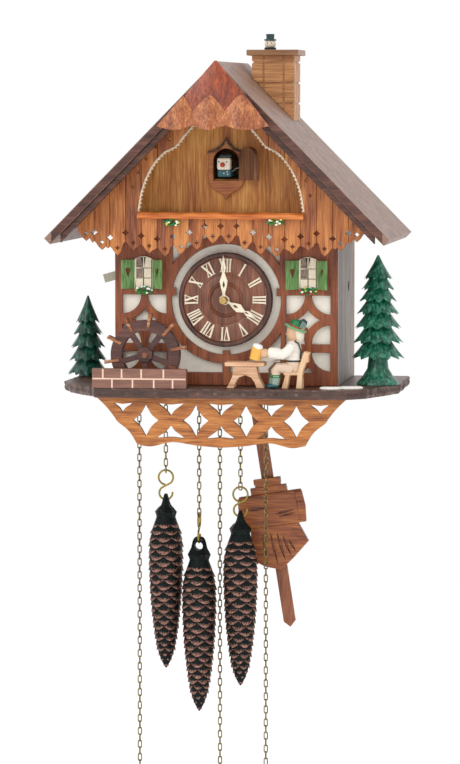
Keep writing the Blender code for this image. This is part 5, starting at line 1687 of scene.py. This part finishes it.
quills = [bar("quill", at(58.6 + k * 0.9, body_y - 5.2, 45.2 - 0.5 * k),
    at(61.0 + k * 0.9, body_y - 5.3, 49.6 - 0.6 * k), 0.28 * MM, socks, 8) for k in range(4)]
man_piece = join("drinker_carved", man + [belt, brace, brim, crown, band, brush] + quills)
seat = block("seat", (46.6, 60.6), (-149.6, -139.2), (10.1, 12.4), chair_wood, 0.4)
legs = []
for y in ((-149.8, -147.0), (-141.8, -139.0)):
    legs.append(fretwork("front_leg", [[(45.2, 0.3), (49.2, 0.3), (51.2, 10.6), (48.0, 10.6)]], -y[0], 2.8,
        chair_wood, edge=0.3))
    legs.append(fretwork("back_post", [[(55.8, 0.3), (60.6, 0.3), (60.0, 11.0), (65.6, 26.6), (61.6, 27.6),
        (57.2, 14.0)]], -y[0], 2.8, chair_wood, edge=0.4))
back_rest = block("back_rest", (62.0, 64.6), (-149.4, -139.4), (19.5, 26.6), chair_wood, 0.4)
chair = join("beech_chair", [seat, back_rest] + legs)
for piece in (man_piece, chair):
    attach(piece, "case")
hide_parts("drinker")

arm_y = -152.4
sleeve = limb("sleeve", [((53.4, arm_y, 33.0), 2.0), ((52.4, arm_y, 31.2), 3.3), ((49.6, arm_y, 27.6), 3.7),
    ((46.2, arm_y, 25.6), 3.9),
    ((41.8, arm_y, 26.4), 4.3), ((37.0, arm_y, 26.8), 4.1),
        ((35.9, arm_y, 26.8), 3.2)], shirt, 0.6)
fist = limb("fist", [((36.4, arm_y, 26.6), 2.2), ((34.0, arm_y, 26.5), 3.4), ((31.6, arm_y, 26.2), 3.3),
    ((30.4, arm_y, 26.2), 2.2)], skin, 0.7)
mug_rings = []
for t, wide in ((0, 3.6), (0.06, 4.1), (0.5, 4.0), (0.94, 4.0), (1.0, 3.7)):
    lean = Vector((25.6, 0, 21.4)).lerp(Vector((27.8, 0, 30.8)), t)
    mug_rings.append([at(lean.x + wide * math.cos(2 * math.pi * k / 12),
        arm_y + 2.6 * math.sin(2 * math.pi * k / 12) * 0.95,
        lean.z - 0.22 * wide * math.cos(2 * math.pi * k / 12)) for k in range(12)])
mug = loft("beer_mug", mug_rings, mug_glaze)
foam = limb("foam", [((27.3, arm_y, 30.0), 3.6), ((28.2, arm_y, 31.6), 4.1), ((28.6, arm_y, 32.9), 3.2),
    ((28.8, arm_y, 33.4), 1.4)], foam_paint, 0.7)
handle = bent_wire("mug_handle", [at(*p) for p in ((29.8, arm_y, 29.4), (32.0, arm_y, 28.8),
    (31.6, arm_y, 23.9), (28.9, arm_y, 23.4))],
    1.0 * MM, mug_glaze)
lifting_arm = join("lifting_arm", [sleeve, fist, mug, foam, handle])
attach(lifting_arm, "drinker_arm")
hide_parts("drinker_arm")

# ---------------------------------------------------------------- pendulum
# A flat stained rod with a pointed end. The bob is carved in one piece: stepped cap, a box
# with a bevelled right end and two slits, and a five-sided leaf with fan cuts.
rod_wood = stained_wood("brown_pendulum_rod", "5f301e", "8a4e30", "a2694a", "Z", figure=5, gloss=0.42)
bob_wood = stained_wood("red_brown_carved_bob", "4c1f0c", "8c4a22", "b87638", "X", figure=5, gloss=0.34,
    edge="3c1a10")
LEAN = math.radians(-8.9)


def hung(name, outlines, depth_of_face, thick, finish, edge=0.4):
    """A flat piece hung from the pendulum's pivot, drawn straight down and then swung."""
    piece = fretwork(name, outlines, 0, thick, finish, edge=edge)
    swing = Matrix.Translation(at(0, -depth_of_face, 58)) @ Matrix.Rotation(LEAN, 4,
        "Y") @ Matrix.Translation(-at(0, 0, 0))
    piece.data.transform(swing)
    return piece


strip = hung("pendulum_strip", [[(-4.6, -42), (-0.8, -38), (-0.8, -1.6), (0.8, -1.6), (0.8, -38),
    (4.6, -42), (4.6, -247),
        (0, -251.5), (-4.6, -247)]], 43.5, 3.0, rod_wood, 0.35)
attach(strip, "pendulum")
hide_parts("pendulum_rod")
tiers = [
    hung("cap_top", [[(-10.2, -135.6), (10.4, -135.6), (10.4, -139.8), (-10.2, -139.8)]], 50.2, 6.4,
        bob_wood, 0.5),
    hung("cap_band", [[(-9.6, -139.6), (10.0, -139.6), (10.0, -142.0), (-9.6, -142.2)]], 49.2, 4.6,
        bob_wood, 0.2),
    hung("cap_step", [[(-13.6, -141.8), (14.0, -141.8), (14.2, -147.2), (-13.6, -147.2)]], 49.7, 5.9,
        bob_wood, 0.5),
    hung("box", [[(-24.6, -149.2), (-23, -147.2), (24.5, -147.2), (25.8, -160), (24.8, -172.6),
        (-19.6, -172.6), (-25.6, -161)]],
    49.6, 5.8, bob_wood, 1.2),
    hung("leaf", [[(-18.2, -172.2), (18.8, -172.2), (24.6, -187.6), (11.0, -199.0), (0.4, -206.6),
        (-11.6, -202.4), (-20.5, -196)]],
    49.8, 6.0, bob_wood, 1.0),
    hung("box_end", [[(19.4, -148.2), (25.4, -148.2), (26.6, -160), (25.6, -171.6), (20.2, -171.6)]], 50.2,
        2.6, bob_wood, 1.1),
    hung("leaf_end", [[(12.0, -173.4), (18.2, -173.4), (24.2, -187.4), (19.8, -190.4)]], 49.9, 2.2,
        bob_wood, 0.9)]
for tier, gouges in ((3, ((-17, -158.4, -4, -157.8, 1.3), (2.4, -163.6, 18, -161.8, 1.2),
    (4.0, -166.2, 18, -164.4, 0.8))),
        (4, ((-9.4, -177, -9.0, -199, 1.5), (-3.4, -176, -1.2, -202, 1.4),
        (1.6, -177, 5.0, -200, 1.4),
        (5.6, -180, 10.0, -197, 1.3), (9.8, -184, 14.0, -194, 1.2)))):
    for x0, z0, x1, z1, wide in gouges:
        far = math.hypot(x1 - x0, z1 - z0)
        nx, nz = -(z1 - z0) / far * wide, (x1 - x0) / far * wide
        gouge = hung("gouge", [[(x0, z0), ((x0 + x1) / 2 + nx, (z0 + z1) / 2 + nz), (x1, z1),
            ((x0 + x1) / 2 - nx, (z0 + z1) / 2 - nz)]], 52.8, 5.2, fascia_wood, 0.05)
        tiers[tier] = cut(tiers[tier], gouge)
bob = join("carved_bob", tiers)
bob.data.shade_flat()
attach(bob, "pendulum_bob")
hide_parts("pendulum_bob")
